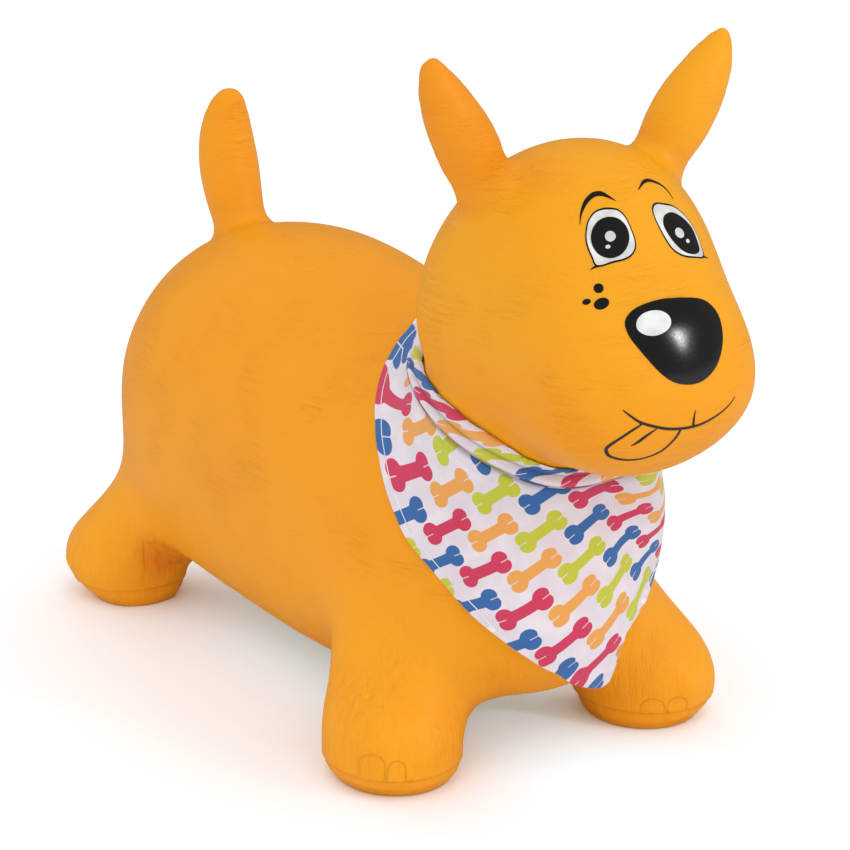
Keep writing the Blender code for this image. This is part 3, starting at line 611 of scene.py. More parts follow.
skinLook = {
    "plain": (242, 152, 18),
    "tones": ((241, 155, 14), (243, 160, 20)),
    "lowLegsLit": (249, 166, 22),
    "headTopLit": (240, 163, 18),
    "earShade": (236, 142, 16),
    "hindFoldShade": (234, 118, 16),
    "grooveShade": (228, 118, 14),
    "rough": 0.42,
    "depth": 0.00045,
    # short strokes like combed fur, mostly level, and upright on the legs
    "levelGrain": (55, 55, 300),
    "uprightGrain": (210, 210, 30),
    "legsFrom": 0.130,
    "legsWhole": 0.060,
    "strokeWide": 0.15,
    # creases gather where the hind legs fold under: the middle, and how sharply they fade along x, y and z
    "foldAt": (0.086, 0.182, 0.040),
    "foldFade": (1400.0, 2600.0, 1100.0),
    "foldGrain": (105, 105, 18),
    "pleatWide": 0.09,
    # where the painted shade round each ear root is strongest, and how fast it fades
    "earRootAt": (0.062, -0.158, 0.352),
    "earRootFade": (1900.0, 1500.0, 1900.0),
    "welt": 0.0130,
    "lineHalf": 0.0006,
    "lineSoft": 0.0004,
    # toe arcs: left and up places and how narrow each is
    "toes": ((-0.1200, 0.0235, 1.35), (-0.1095, 0.0205, 1.35), (0.0695, 0.0165, 1.0), (0.0835, 0.0170, 1.0)),
    "toeRound": 0.0062,
    "toeHalf": 0.0005,
    "toeAbove": 0.0138,
    "toeFront": -0.118,
    "steady": {
        "Subsurface Weight": 0.12,
        "Subsurface Radius": (1.0, 0.35, 0.08),
        "Subsurface Scale": 0.012,
        "Specular IOR Level": 0.25,
    },
}


def paintSkin(s):
    p = Paint("satinVinyl", shade(*s["plain"]), s["rough"])
    at = p.place()
    x, y, z = p.parts(at)
    warp = p.noise(at, 22.0, 2.0)
    level = p.noise(p.scaled(at, s["levelGrain"]), 1.0, 3.0, 0.55, 0.6)
    upright = p.noise(p.scaled(at, s["uprightGrain"]), 1.0, 3.0, 0.55, 0.9)
    onLeg = z.ramp(s["legsFrom"], s["legsWhole"])
    lines = abs(level - 0.5) * (1.0 - onLeg) + abs(upright - 0.5) * onLeg
    strokes = (s["strokeWide"] - lines).most(0.0)
    patchy = p.noise(at, 26.0, 2.0).ramp(0.42, 0.66)
    grain = p.noise(at, 900.0, 2.0)

    def around(place, fade, low):
        # strongest at one place on each side of the part, and less away from it along x, y and z
        dx, dy, dz = abs(x) - place[0], y - place[1], z - place[2]
        return (dx * dx * fade[0] + dy * dy * fade[1] + dz * dz * fade[2]).ramp(1.0, low)

    # creases gather at the folds, at the ankles and at the welt of the sole
    folded = around(s["foldAt"], s["foldFade"], 0.2)
    ankle = z.ramp(0.012, 0.022) * z.ramp(0.075, 0.030)
    gather = p.noise(p.scaled(at, s["foldGrain"], turn=(0.5, 0, 0)), 1.0, 1.0, 0.4, 0.4)
    pleat = (s["pleatWide"] - abs(gather - 0.5)).most(0.0) * (folded * 2.6 + ankle * 0.9)
    soft = s["lineSoft"]
    welt = (s["lineHalf"] - abs(z - s["welt"])).ramp(-soft, s["lineHalf"]) * (abs(x) - 0.04).over(0.0)
    toes = None
    for tx, tz, narrow in s["toes"]:
        across, above = (x - tx) * narrow, (z - tz).most(0.0)
        ring = (across * across + above * above).math("SQRT")
        arc = (s["toeHalf"] - abs(ring - s["toeRound"])).ramp(-soft, s["lineHalf"])
        arc = arc * (z - s["toeAbove"]).over(0.0) * y.under(s["toeFront"])
        toes = arc if toes is None else toes.most(arc)
    combed = strokes * (0.24 + patchy * (1.0 - onLeg * 0.5)) * (4.0 + onLeg * onLeg * 2.5)
    p.bump(combed + grain * 0.08 + warp * 0.4 - pleat * 4.4 - welt * 0.7 - toes * 1.0, s["depth"])
    tone = p.noise(at, 9.0, 3.0)
    base = p.tint(tone.ramp(0.3, 0.7), *s["tones"])
    # painted light: the lower body and legs are made lighter towards the floor
    base = p.tint(z.ramp(0.160, 0.040) * 0.8, base, s["lowLegsLit"])
    # painted light: the top of the head is made lighter and yellower, as though lit from above
    base = p.tint(z.ramp(0.23, 0.30) * y.ramp(-0.07, -0.12), base, s["headTopLit"])
    # painted shade on the near ear's inner side and around the ear roots
    earRootShade = around(s["earRootAt"], s["earRootFade"], 0.25)
    shadedEar = z.ramp(0.348, 0.362) * x.ramp(-0.02, -0.06) * 0.75
    base = p.tint(shadedEar.most(earRootShade * 0.55), base, s["earShade"])
    # painted shade where the hind legs fold under the body
    base = p.tint(folded * 0.40, base, s["hindFoldShade"])
    # painted shade: the strokes, pleats, welt and toe arcs are made darker, as in the shade of their grooves
    grooveShading = (strokes * patchy * 0.4 + pleat * 0.7 + welt * 0.22 + toes * 0.24).least(0.6)
    p.colour(p.tint(grooveShading, base, s["grooveShade"]))
    p.roughness(s["rough"] + (grain - 0.5) * 0.10 + (tone - 0.5) * 0.06)
    p.steady(s["steady"])
    return p.material


satin = paintSkin(skinLook)
for piece in (skin, *horns.values()):
    piece.data.materials.clear()
    piece.data.materials.append(satin)
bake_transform(skin)
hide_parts(*[n for n in skinForm["from"] if not n.startswith(("ear", "tail"))])
for name, horn in hornPlaces.items():
    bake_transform(horns[name])
    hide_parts(horn["node"])


# painted face, laid on the skin as thin films; places are degrees left and up from the head's middle
headMiddle = (0.0, -0.1847, 0.2766)
facePaint = {
    "black": (15, 11, 9),
    "white": (236, 236, 234),
    "lift": 0.00012,
    "lineLift": 1.6,
    "noseGlintLift": 0.00032,
    "whiteLift": 0.00026,
    "pupilLift": 0.00040,
    "glintLift": 0.00054,
    "film": 0.0003,
    "noseBulge": 0.0030,
    "noseRound": 2.4,
    "noseRounds": 6,
    "eyeLine": 0.85,
}
faceShapes = {
    "nose": [(-24.2, 12.4), (-22.8, 15.0), (-19.3, 17.7), (-13.7, 19.5), (-6.5, 20.5), (0.7, 20.2), (8.1, 19.2),
        (14.5, 17.5), (18.7, 14.2), (20.5, 9.4), (19.3, 3.8), (17.4, -0.1), (14.4, -4.0), (10.8, -7.2), (5.8, -9.8),
        (0.8, -10.7), (-4.5, -10.1), (-8.9, -8.3), (-12.9, -5.0), (-16.9, -0.3), (-20.6, 4.4), (-23.0, 7.9)],
    "noseGlint": [(-5.2, 12.1), (-6.2, 9.8), (-8.8, 8.1), (-12.3, 7.2), (-15.6, 7.5), (-18.2, 8.8), (-19.3, 10.8),
        (-18.6, 13.2), (-16.3, 15.1), (-12.8, 16.1), (-9.0, 15.9), (-6.2, 14.4)],
    "eyeRight": [(-40.6, 50.8), (-39.5, 53.7), (-36.2, 56.7), (-30.9, 58.3), (-25.2, 58.7), (-19.1, 58.1),
        (-14.9, 55.6), (-12.7, 51.6), (-11.3, 46.8), (-11.9, 42.9), (-15.2, 39.7), (-19.7, 37.9), (-25.7, 36.8),
        (-34.1, 35.0), (-36.9, 38.6), (-39.7, 43.3), (-40.8, 47.1)],
    "irisRight": [(-14.9, 47.2), (-17.5, 43.0), (-22.0, 39.9), (-27.3, 38.7), (-32.3, 39.7), (-36.0, 42.6),
        (-37.6, 46.5), (-36.3, 50.8), (-32.0, 53.9), (-25.6, 55.1), (-19.4, 54.2), (-15.4, 51.2)],
    "glintRight": [(-23.2, 47.5), (-24.4, 46.1), (-26.6, 45.4), (-28.8, 46.0), (-29.6, 47.5), (-28.5, 49.0),
        (-26.2, 49.6), (-24.0, 49.0)],
    "sparkRight": [(-26.7, 43.6), (-27.0, 43.0), (-28.0, 42.6), (-29.1, 42.6), (-29.6, 43.1), (-29.3, 43.7),
        (-28.3, 44.1), (-27.2, 44.0)],
    "eyeLeft": [(7.9, 57.4), (12.6, 58.8), (18.5, 58.0), (27.7, 55.7), (33.9, 51.2), (36.6, 45.9), (36.2, 39.8),
        (32.2, 32.4), (24.5, 33.4), (16.3, 35.7), (11.3, 39.1), (8.9, 43.8), (7.2, 49.7), (6.6, 54.1)],
    "irisLeft": [(11.8, 51.0), (15.6, 53.4), (23.7, 53.3), (30.9, 49.5), (34.2, 44.4), (32.9, 38.9), (30.2, 35.3),
        (23.8, 35.2), (17.4, 38.1), (13.3, 43.4), (11.4, 48.2)],
    "glintLeft": [(24.5, 45.3), (23.8, 43.7), (21.5, 43.0), (18.9, 43.5), (17.5, 44.9), (18.1, 46.5), (20.5, 47.3),
        (23.2, 46.7)],
    "sparkLeft": [(25.9, 41.0), (25.6, 40.4), (24.7, 40.1), (23.6, 40.3), (23.1, 40.9), (23.4, 41.5), (24.4, 41.8),
        (25.4, 41.6)],
    "spotUpper": [(-31.1, 26.0), (-31.8, 24.6), (-33.4, 24.0), (-34.9, 24.6), (-35.6, 26.0), (-35.0, 27.5),
        (-33.3, 28.1), (-31.7, 27.5)],
    "spotOuter": [(-36.6, 21.0), (-36.8, 20.0), (-38.0, 19.3), (-39.3, 19.3), (-40.1, 20.0), (-39.8, 20.9),
        (-38.7, 21.6), (-37.4, 21.6)],
    "spotInner": [(-29.0, 20.9), (-29.4, 19.1), (-31.4, 17.7), (-33.7, 17.5), (-35.2, 18.6), (-35.0, 20.4),
        (-33.0, 21.9), (-30.5, 22.1)],
}
# lines: left, up and half width, all in degrees
faceLines = {
    "browRight": [(-44.4, 51.3, 0.10), (-44.4, 55.8, 0.42), (-42.1, 60.4, 0.85), (-37.0, 63.4, 1.05),
        (-30.8, 64.0, 0.95), (-25.2, 62.9, 0.55), (-19.9, 61.3, 0.10)],
    "browLeft": [(3.4, 64.9, 0.15), (12.9, 67.2, 0.55), (21.4, 67.5, 0.75), (27.4, 66.1, 0.70), (32.5, 63.7, 0.50),
        (33.9, 60.5, 0.30), (33.1, 57.2, 0.08)],
    "tailRight": [(-29.0, 36.6, 0.10), (-33.2, 35.5, 0.50), (-35.6, 34.7, 0.35), (-37.4, 33.5, 0.08)],
    "tailLeft": [(25.5, 33.6, 0.10), (30.8, 32.5, 0.45), (33.2, 31.9, 0.30), (35.4, 30.8, 0.08)],
    "smile": [(-25.5, -15.2, 0.15), (-23.2, -17.0, 0.32), (-19.8, -19.4, 0.40), (-15.4, -21.3, 0.45),
        (-9.7, -23.2, 0.48), (-3.8, -24.1, 0.50), (2.2, -24.1, 0.48), (7.1, -23.1, 0.40), (11.9, -21.3, 0.30),
        (15.8, -19.1, 0.22), (18.4, -16.8, 0.10)],
    "lip": [(0.7, -18.2, 0.08), (0.5, -20.7, 0.32), (1.0, -23.9, 0.45)],
    "tongue": [(-18.6, -19.9, 0.30), (-22.8, -22.5, 0.42), (-26.6, -25.3, 0.48), (-29.2, -27.6, 0.52),
        (-30.3, -29.8, 0.55), (-29.0, -32.8, 0.55), (-25.3, -34.9, 0.52), (-20.3, -36.1, 0.48),
        (-14.5, -35.8, 0.46), (-9.2, -33.6, 0.46), (-6.5, -30.3, 0.44), (-4.7, -27.0, 0.44), (-4.0, -24.2, 0.42)],
    "crease": [(-13.0, -22.3, 0.12), (-16.6, -24.6, 0.48), (-19.2, -26.8, 0.55), (-21.7, -28.5, 0.12)],
}


def newGrid(name, columns, rows):
    letGo()
    bpy.ops.mesh.primitive_grid_add(x_subdivisions=columns, y_subdivisions=rows, size=1)
    obj = bpy.context.object
    obj.name = obj.data.name = name
    return obj


def shapeGrid(obj, place):
    setPlaces(obj, np.array([place(x + 0.5, y + 0.5) for x, y, _ in readPlaces(obj)]))


def closeUp(obj, reach=0.00001):
    editAll(obj)
    bpy.ops.mesh.remove_doubles(threshold=reach)
    bpy.ops.mesh.normals_make_consistent(inside=False)
    editDone()


def onHead(left, up, lift):
    a, e = math.radians(left), math.radians(up)
    d = Vector((math.sin(a) * math.cos(e), -math.cos(a) * math.cos(e), math.sin(e)))
    hit = skinSurface.ray_cast(Vector(headMiddle) + d * 0.3, -d)[0]
    return hit + d * lift


def outlineReach(points, hub, count):
    # how far the outline stands from its hub at even angles
    drawn = splineThrough(points, 8, closed=True) - np.array(hub)
    angle = np.unwrap(np.arctan2(drawn[:, 1], drawn[:, 0]))
    if angle[-1] < angle[0]:
        drawn, angle = drawn[::-1], angle[::-1]
    far = np.hypot(drawn[:, 0], drawn[:, 1])
    angle = np.concatenate((angle, [angle[0] + 2 * math.pi]))
    far = np.concatenate((far, [far[0]]))
    ask = angle[0] + (np.arange(count + 1) / count * 2 * math.pi - angle[0]) % (2 * math.pi)
    return np.interp(ask, angle, far)


def facePatch(name, shape, columns=72, rows=8, shrink=0.0, bulge=None, lift=facePaint["lift"]):
    hub = np.mean(faceShapes[shape], axis=0)
    far = outlineReach(faceShapes[shape], hub, columns) - shrink
    obj = newGrid(name, columns, rows)

    def place(u, v):
        i = int(round(u * columns)) % columns
        r = far[i] * v
        t = 2 * math.pi * i / columns
        x, y = hub[0] + r * math.cos(t), hub[1] + r * math.sin(t)
        return onHead(x, y, lift + (bulge(x, y) if bulge else 0.0))

    shapeGrid(obj, place)
    closeUp(obj)
    return obj


def faceLine(name, points, columns=60, rows=3):
    drawn = splineThrough(points, 12)
    step = np.gradient(drawn[:, :2], axis=0)
    side = np.stack((-step[:, 1], step[:, 0]), 1)
    side[:, 0] /= np.cos(np.radians(drawn[:, 1]))
    side /= np.hypot(step[:, 0], step[:, 1])[:, None]
    along = np.linspace(0, 1, len(drawn))
    obj = newGrid(name, columns, rows)

    def place(u, v):
        x, y, w = (np.interp(u, along, drawn[:, k]) for k in range(3))
        sx, sy = (np.interp(u, along, side[:, k]) for k in range(2))
        k = (2 * v - 1) * max(w, 0.04)
        return onHead(x + sx * k, y + sy * k, facePaint["lift"] * facePaint["lineLift"])

    shapeGrid(obj, place)
    return obj


def finishPiece(obj, material, nodes, wall, outward, middle, sharp):
    # faces away from the middle, gets its wall and its material, and rides on the body
    addModifier(obj, "wall", "SOLIDIFY", thickness=wall, offset=outward)
    face = obj.data.polygons[len(obj.data.polygons) // 2]
    if face.normal.dot(face.center - Vector(middle)) < 0:
        turnOver(obj)
    applyAll(obj)
    pick(obj)
    bpy.ops.object.shade_smooth_by_angle(angle=math.radians(sharp))
    obj.data.materials.append(material)
    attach(obj, "body")
    if nodes:
        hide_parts(*nodes)


def blackFilm(obj, *nodes):
    finishPiece(obj, blackPaint, nodes, facePaint["film"], -1.0, headMiddle, 40)


def whiteFilm(obj, *nodes):
    finishPiece(obj, whitePaint, nodes, facePaint["film"], -1.0, headMiddle, 40)


def paintFilm(name, colour, rough, grain):
    p = Paint(name, shade(*colour), rough)
    at = p.place()
    fine = p.noise(at, 700.0, 3.0)
    broad = p.noise(at, 60.0, 2.0)
    p.bump(fine * 0.5 + broad, grain)
    p.colour(p.tint(broad.ramp(0.35, 0.7), [c * 0.86 for c in colour], colour))
    p.roughness(rough + (fine - 0.5) * 0.12)
    p.steady({"Specular IOR Level": 0.85})
    return p.material


print("painted face")
blackPaint = paintFilm("blackPaint", facePaint["black"], 0.21, 0.00004)
whitePaint = paintFilm("whitePaint", facePaint["white"], 0.38, 0.00008)
noseHub = np.mean(faceShapes["nose"], axis=0)
noseReach = outlineReach(faceShapes["nose"], noseHub, 360)


def noseSwell(x, y):
    dx, dy = x - noseHub[0], y - noseHub[1]
    far = noseReach[int(round(math.degrees(math.atan2(dy, dx)))) % 360]
    share = min(math.hypot(dx, dy) / far, 1.0)
    return facePaint["noseBulge"] * (1 - share ** facePaint["noseRound"])


noseCap = facePatch("noseCap", "nose", columns=96, rows=18, bulge=noseSwell)
addModifier(noseCap, "ease", "SMOOTH", iterations=facePaint["noseRounds"], factor=0.5)
blackFilm(noseCap, "nose")
whiteFilm(facePatch("noseGlint", "noseGlint", rows=6, columns=48, bulge=noseSwell,
                    lift=facePaint["noseGlintLift"]), "nose_glint")
for side in ("Right", "Left"):
    low = side.lower()
    blackFilm(facePatch("eyeOutline" + side, "eye" + side, rows=4), "eye_outline_" + low)
    whiteFilm(facePatch("eyeWhite" + side, "eye" + side, shrink=facePaint["eyeLine"],
                        lift=facePaint["whiteLift"]), "eye_white_" + low)
    blackFilm(facePatch("pupil" + side, "iris" + side, lift=facePaint["pupilLift"]), "pupil_" + low)
    whiteFilm(facePatch("eyeGlint" + side, "glint" + side, rows=4, columns=32, lift=facePaint["glintLift"]),
              "eye_glint_" + low)
    whiteFilm(facePatch("eyeSpark" + side, "spark" + side, rows=3, columns=24, lift=facePaint["glintLift"]))
    blackFilm(faceLine("brow" + side, faceLines["brow" + side]), "brow_" + low)
    blackFilm(faceLine("eyeTail" + side, faceLines["tail" + side], columns=30))
for spot in ("Upper", "Outer", "Inner"):
    blackFilm(facePatch("cheekSpot" + spot, "spot" + spot, rows=4, columns=32), "cheek_spot_" + spot.lower())
for name, node in (("smile", "mouth_line"), ("lip", "lip_line"), ("tongue", "tongue_line"),
                   ("crease", "tongue_crease")):
    blackFilm(faceLine(name + "Line", faceLines[name], columns=90), node)


# bandana: places are degrees round the neck from the breast, and down from the neck's upper end
bandana = {
    "hub": (0.0, -0.0865, 0.165),
    "lean": 43.5,
    "neckVoxel": 0.006,
    "neckRounds": 10,
    "bibEdge": ((-180, 93), (-170, 90), (-155, 87.5), (-139, 85.3), (-117, 83.3), (-100, 83.7), (-83, 85.2),
        (-68, 86.4), (-54, 86.5), (-41, 86.8), (-33, 86), (-25.5, 85.2), (-19, 85.2), (-11, 86.3), (-7, 88.6),
        (0, 91.2), (3, 91.8), (3.9, 85), (5.6, 79), (9.3, 77.3), (15.5, 76.5), (26, 74.5), (34, 73), (50, 76),
        (90, 82), (130, 84), (155, 87.5), (180, 93)),
    "fold": ((0, 37.5), (50, 39.5), (66, 41.5), (83, 44.5), (102, 49), (121, 55), (140, 64), (156, 73), (180, 79)),
    "edgeEase": 0.6,
    "bibSpan": 179,
    "cloth": 0.0007,
    "lift": 0.0016,
    "bibGap": 0.0008,
    "hem": 0.0052,
    # how far the cloth stands off where it hangs, and over which falls and turns it does so
    "tipHang": 0.0155,
    "tipFall": (62, 28),
    "tipWide": 36,
    "sideHang": 0.0165,
    "sideTurns": ((8, 30), (95, 25)),
    "sideFalls": ((36, 8), (86, 30)),
    "folds": ((-62, 9, 0.0016), (-34, 8, 0.0010), (30, 6, 0.0016), (44, 6, 0.0014), (62, 9, 0.0018)),
    "foldsFrom": (50, 22),
    "underFold": 0.0016,
    # how dark the painted shade just under the band's fold is
    "foldShadeStrength": 0.9,
    # the rolled band
    "bandEnd": 193,
    "bandShare": 0.8,
    "bandCloth": 0.0009,
    "bandLift": 0.0050,
    "bandRoll": 0.0024,
    "bandDeep": 10.5,
    "bandGap": 0.0014,
    "overlap": 0.0045,
    "tuck": 3.2,
}
printed = {
    # the print's step along a row and down to the next row, and how a bone lies between them
    "along": (0.0290, -0.0015),
    "down": (0.0250, -0.0262),
    "boneTilt": 31.0,
    "boneHalf": 0.0111,
    "lobe": 0.0048,
    "lobeApart": 0.0028,
    "shaft": 0.0038,
    "flare": 0.0009,
    "blend": 0.0010,
    "notch": 0.00026,
    "edgeSoft": 0.0002,
    "stitchHalf": 0.00030,
    "stitchSoft": 0.00015,
    "plain": (234, 230, 236),
    "whites": ((228, 218, 228), (238, 230, 238)),
    "threads": ((228, 224, 232), (246, 244, 248)),
    "colours": ((212, 34, 84), (240, 166, 72), (200, 204, 40), (20, 98, 172)),
    # the part of the cloth that the print's places were measured on, and its longest steps beyond it
    "turnsKnown": (-1.12, 0.30),
    "fallsKnown": (-0.25, 0.20),
    "longestTurn": 0.125,
    "longestFall": 0.155,
    "rowPlaces": (1.868, 5.066, -9.041, 6.143, 2.046, -3.894, 2.625, 5.636, -5.073, -3.6, 0.1, 1.073, 0.729,
                  0.158, 0.144),
    "linePlaces": (2.673, 2.237, 12.447, -6.743, 15.043, 5.987, -9.472, 3.976, 6.004, 0.749, -3.817, -2.889,
                   -1.146, -0.128, -0.013),
}


def easyTable(table, at, spread=5.0):
    # a table's value with its corners eased; one that starts at 0 is the same on both sides
    places, values = zip(*table)
    ask = [at + spread * k for k in (-1, -0.5, 0, 0.5, 1)]
    return sum(float(np.interp(abs(t) if places[0] >= 0 else t, places, values)) for t in ask) / 5


def bodyAlone(b):
    copies = [copyOf(n) for n in skinForm["from"] if n.startswith(("torso", "leg"))]
    for c in copies:
        closeUp(c, skinForm["merge"])
    pick(*copies)
    bpy.ops.object.join()
    obj = bpy.context.object
    addModifier(obj, "melt", "REMESH", mode="VOXEL", voxel_size=b["neckVoxel"])
    addModifier(obj, "ease", "SMOOTH", iterations=b["neckRounds"])
    applyAll(obj)
    surface = surfaceOf(obj)
    bpy.data.objects.remove(obj, do_unlink=True)
    return surface


neckSurface = bodyAlone(bandana)
hub = Vector(bandana["hub"])
leanBack = math.radians(bandana["lean"])
neckAxis = Vector((0, -math.sin(leanBack), math.cos(leanBack)))
neckFront = Vector((0, -math.cos(leanBack), -math.sin(leanBack)))


def onNeck(turn, fall, lift):
    a, b = math.radians(turn), math.radians(fall)
    d = neckAxis * math.cos(b) + (neckFront * math.cos(a) + Vector((1, 0, 0)) * math.sin(a)) * math.sin(b)
    hit = neckSurface.ray_cast(hub + d * 0.6, -d)[0]
    return hit + d * lift


def clearOf(p, gap):
    # a point nearer to the skin than the gap is pushed out to it
    near, normal, _, _ = skinSurface.find_nearest(p)
    inside = (p - near).dot(normal)
    return p + normal * (gap - inside) if inside < gap else p


def sideHang(b, turn):
    # the cloth stands off the left of the chest between these turns
    (start, rise), (end, drop) = b["sideTurns"]
    return b["sideHang"] * growing(turn, start, rise) * fading(turn, end, drop)


def printPlace(turn, fall):
    # beyond the part that was measured, the print runs on at an even step
    def curved(k, x, y):
        powers = [(n - m, m) for n in range(5) for m in range(n + 1)]
        return sum(a * x ** i * y ** j for a, (i, j) in zip(k, powers))

    x, y = turn / 100, (fall - 65) / 100
    cx = min(max(x, printed["turnsKnown"][0]), printed["turnsKnown"][1])
    cy = min(max(y, printed["fallsKnown"][0]), printed["fallsKnown"][1])
    tables = (printed["rowPlaces"], printed["linePlaces"])
    place = np.array([curved(k, cx, cy) for k in tables])
    steps = np.array((printed["along"], printed["down"])).T
    for off, sx, sy, most in ((x - cx, 0.01, 0, printed["longestTurn"]), (y - cy, 0, 0.01, printed["longestFall"])):
        slope = np.array([(curved(k, cx + sx, cy + sy) - curved(k, cx - sx, cy - sy)) / 0.02 for k in tables])
        length = np.linalg.norm(steps @ slope)
        place += slope * min(1.0, most / length) * off
    return place


def setPrint(obj, rows):
    # rows: for each point, its place in the print, counted along and down
    r = np.array(rows)
    p = r[:, :1] * np.array(printed["along"]) + r[:, 1:] * np.array(printed["down"])
    layer = obj.data.uv_layers[0]
    layer.name = "printPlace"
    loops = readEach(obj.data.loops, "vertex_index", 1, int).ravel()
    layer.data.foreach_set("uv", (p[loops] * 10).ravel())


def setNumber(obj, name, values):
    layer = obj.data.attributes.new(name, "FLOAT", "POINT")
    layer.data.foreach_set("value", np.array(values, np.float32))


def finishCloth(obj, material, node, wall):
    finishPiece(obj, material, [node], wall, 1.0, hub, 50)


def paintCloth(s):
    p = Paint("printedCotton", shade(*s["plain"]), 0.82)
    u, v, _ = p.parts(p.node("ShaderNodeUVMap", {"uv_map": "printPlace"}))
    u, v = u * 0.1, v * 0.1
    # rows first, then the place in the row's own cell
    (ax, ay), (dx, dy) = s["along"], s["down"]
    bx, by = 2 * ax - dx, 2 * ay - dy
    row = ((u * by - v * bx) / (ax * by - ay * bx)).math("ROUND")
    cu, cv = u - row * ax, v - row * ay
    step = ((cu * bx + cv * by) / (bx ** 2 + by ** 2)).math("ROUND")
    cu, cv = cu - step * bx, cv - step * by
    which = (step * 2.0 + row).math("FLOORED_MODULO", 4.0)
    # a bone: a shaft with two round lobes at each end
    t = math.radians(s["boneTilt"])
    length = abs(cu * math.cos(t) + cv * math.sin(t))
    width = abs(cv * math.cos(t) - cu * math.sin(t))
    fromEnd, fromLobe = length - s["boneHalf"], width - s["lobeApart"]
    lobe = (fromEnd * fromEnd + fromLobe * fromLobe).math("SQRT") - s["lobe"]
    flare = (length / s["boneHalf"]).power(4.0) * s["flare"]
    shaft = (width - s["shaft"] - flare).most(length - s["boneHalf"])
    bone = p.node("ShaderNodeMath", {"operation": "SMOOTH_MIN"}, [lobe, shaft, s["blend"]])
    bone = bone.most((s["notch"] - width).least(length - s["boneHalf"] + s["edgeSoft"]))
    ink = (-bone).ramp(-s["edgeSoft"], s["edgeSoft"])
    colour = s["colours"][0]
    for n, other in enumerate(s["colours"][1:]):
        colour = p.tint(which.over(n + 0.5), colour, other)
    edge = p.node("ShaderNodeAttribute", {"attribute_name": "fromEdge"}, out=2)
    seam = (s["stitchHalf"] - abs(edge - bandana["hem"])).ramp(-s["stitchSoft"], s["stitchSoft"])
    stitch = (u * 900.0 + v * 900.0).math("SINE").ramp(-0.6, 0.2)
    at = p.place()
    crumple = p.noise(at, 55.0, 3.0)
    weave = (u * 9000.0).math("SINE") * (v * 9000.0).math("SINE")
    white = p.tint(crumple.ramp(0.35, 0.7), *s["whites"])
    thread = p.tint(stitch, *s["threads"])
    worn = p.noise(at, 1500.0, 2.0)
    inked = p.mix(ink * (0.97 + (worn - 0.5) * 0.10), white, colour)
    # painted shade: the cloth is darkened under and inside the band's folds
    fold = p.node("ShaderNodeAttribute", {"attribute_name": "foldShade"}, out=2)
    cloth = p.mix(seam, inked, thread)
    p.colour(p.node("ShaderNodeHueSaturation", None, {"Color": cloth, "Value": 1.0 - fold * 0.62, "Saturation": 1.0}))
    p.roughness(0.78 + weave * 0.05 + (crumple - 0.5) * 0.1)
    p.bump(weave * 0.10 + crumple * 1.1 - seam * 0.35, 0.0006)
    p.steady({"Sheen Weight": 0.15})
    return p.material


print("bandana")
cotton = paintCloth(printed)


def makeBib(b):
    obj = newGrid("bandanaBib", 232, 44)
    lay, prints, dark = [], [], []
    turns = np.linspace(-b["bibSpan"], b["bibSpan"], 400)
    edge = np.array([onNeck(t, easyTable(b["bibEdge"], t, b["edgeEase"]), 0.003) for t in turns])
    for x, y, _ in readPlaces(obj):
        turn = b["bibSpan"] * 2 * x
        end = easyTable(b["bibEdge"], turn, b["edgeEase"])
        start = min(easyTable(b["fold"], turn) - 4, end - 4)
        fall = start + (end - start) * (y + 0.5)
        hang = b["tipHang"] * growing(fall, *b["tipFall"]) * smoothStep(1.2 - abs(turn + 2) / b["tipWide"])
        fold = sum(d * bell(turn, at, half) for at, half, d in b["folds"]) * growing(fall, *b["foldsFrom"])
        side = sideHang(b, turn) * growing(fall, *b["sideFalls"][0]) * fading(fall, *b["sideFalls"][1])
        # a slack crease runs under the band on the dog's right
        under = b["underFold"] * bell(fall, 49.5 - (turn + 80) * 0.12, 1.6)
        under *= growing(turn, -100, 20) * fading(turn, -38, 16)
        lay.append(clearOf(onNeck(turn, fall, b["lift"] + hang + side + fold + under), b["bibGap"]))
        prints.append(printPlace(turn, fall))
        # painted shade on the bib just under the band's lower edge
        below = fall - easyTable(b["fold"], turn)
        dark.append(b["foldShadeStrength"] * bell(below, 0.4, 1.7 if below < 0.4 else 1.3))
    lay = np.array(lay)
    setPlaces(obj, lay)
    setNumber(obj, "fromEdge", [np.sqrt(((edge - q) ** 2).sum(1).min()) for q in lay])
    setNumber(obj, "foldShade", dark)
    setPrint(obj, prints)
    return obj


bib = makeBib(bandana)
finishCloth(bib, cotton, "bandana_bib", bandana["cloth"])


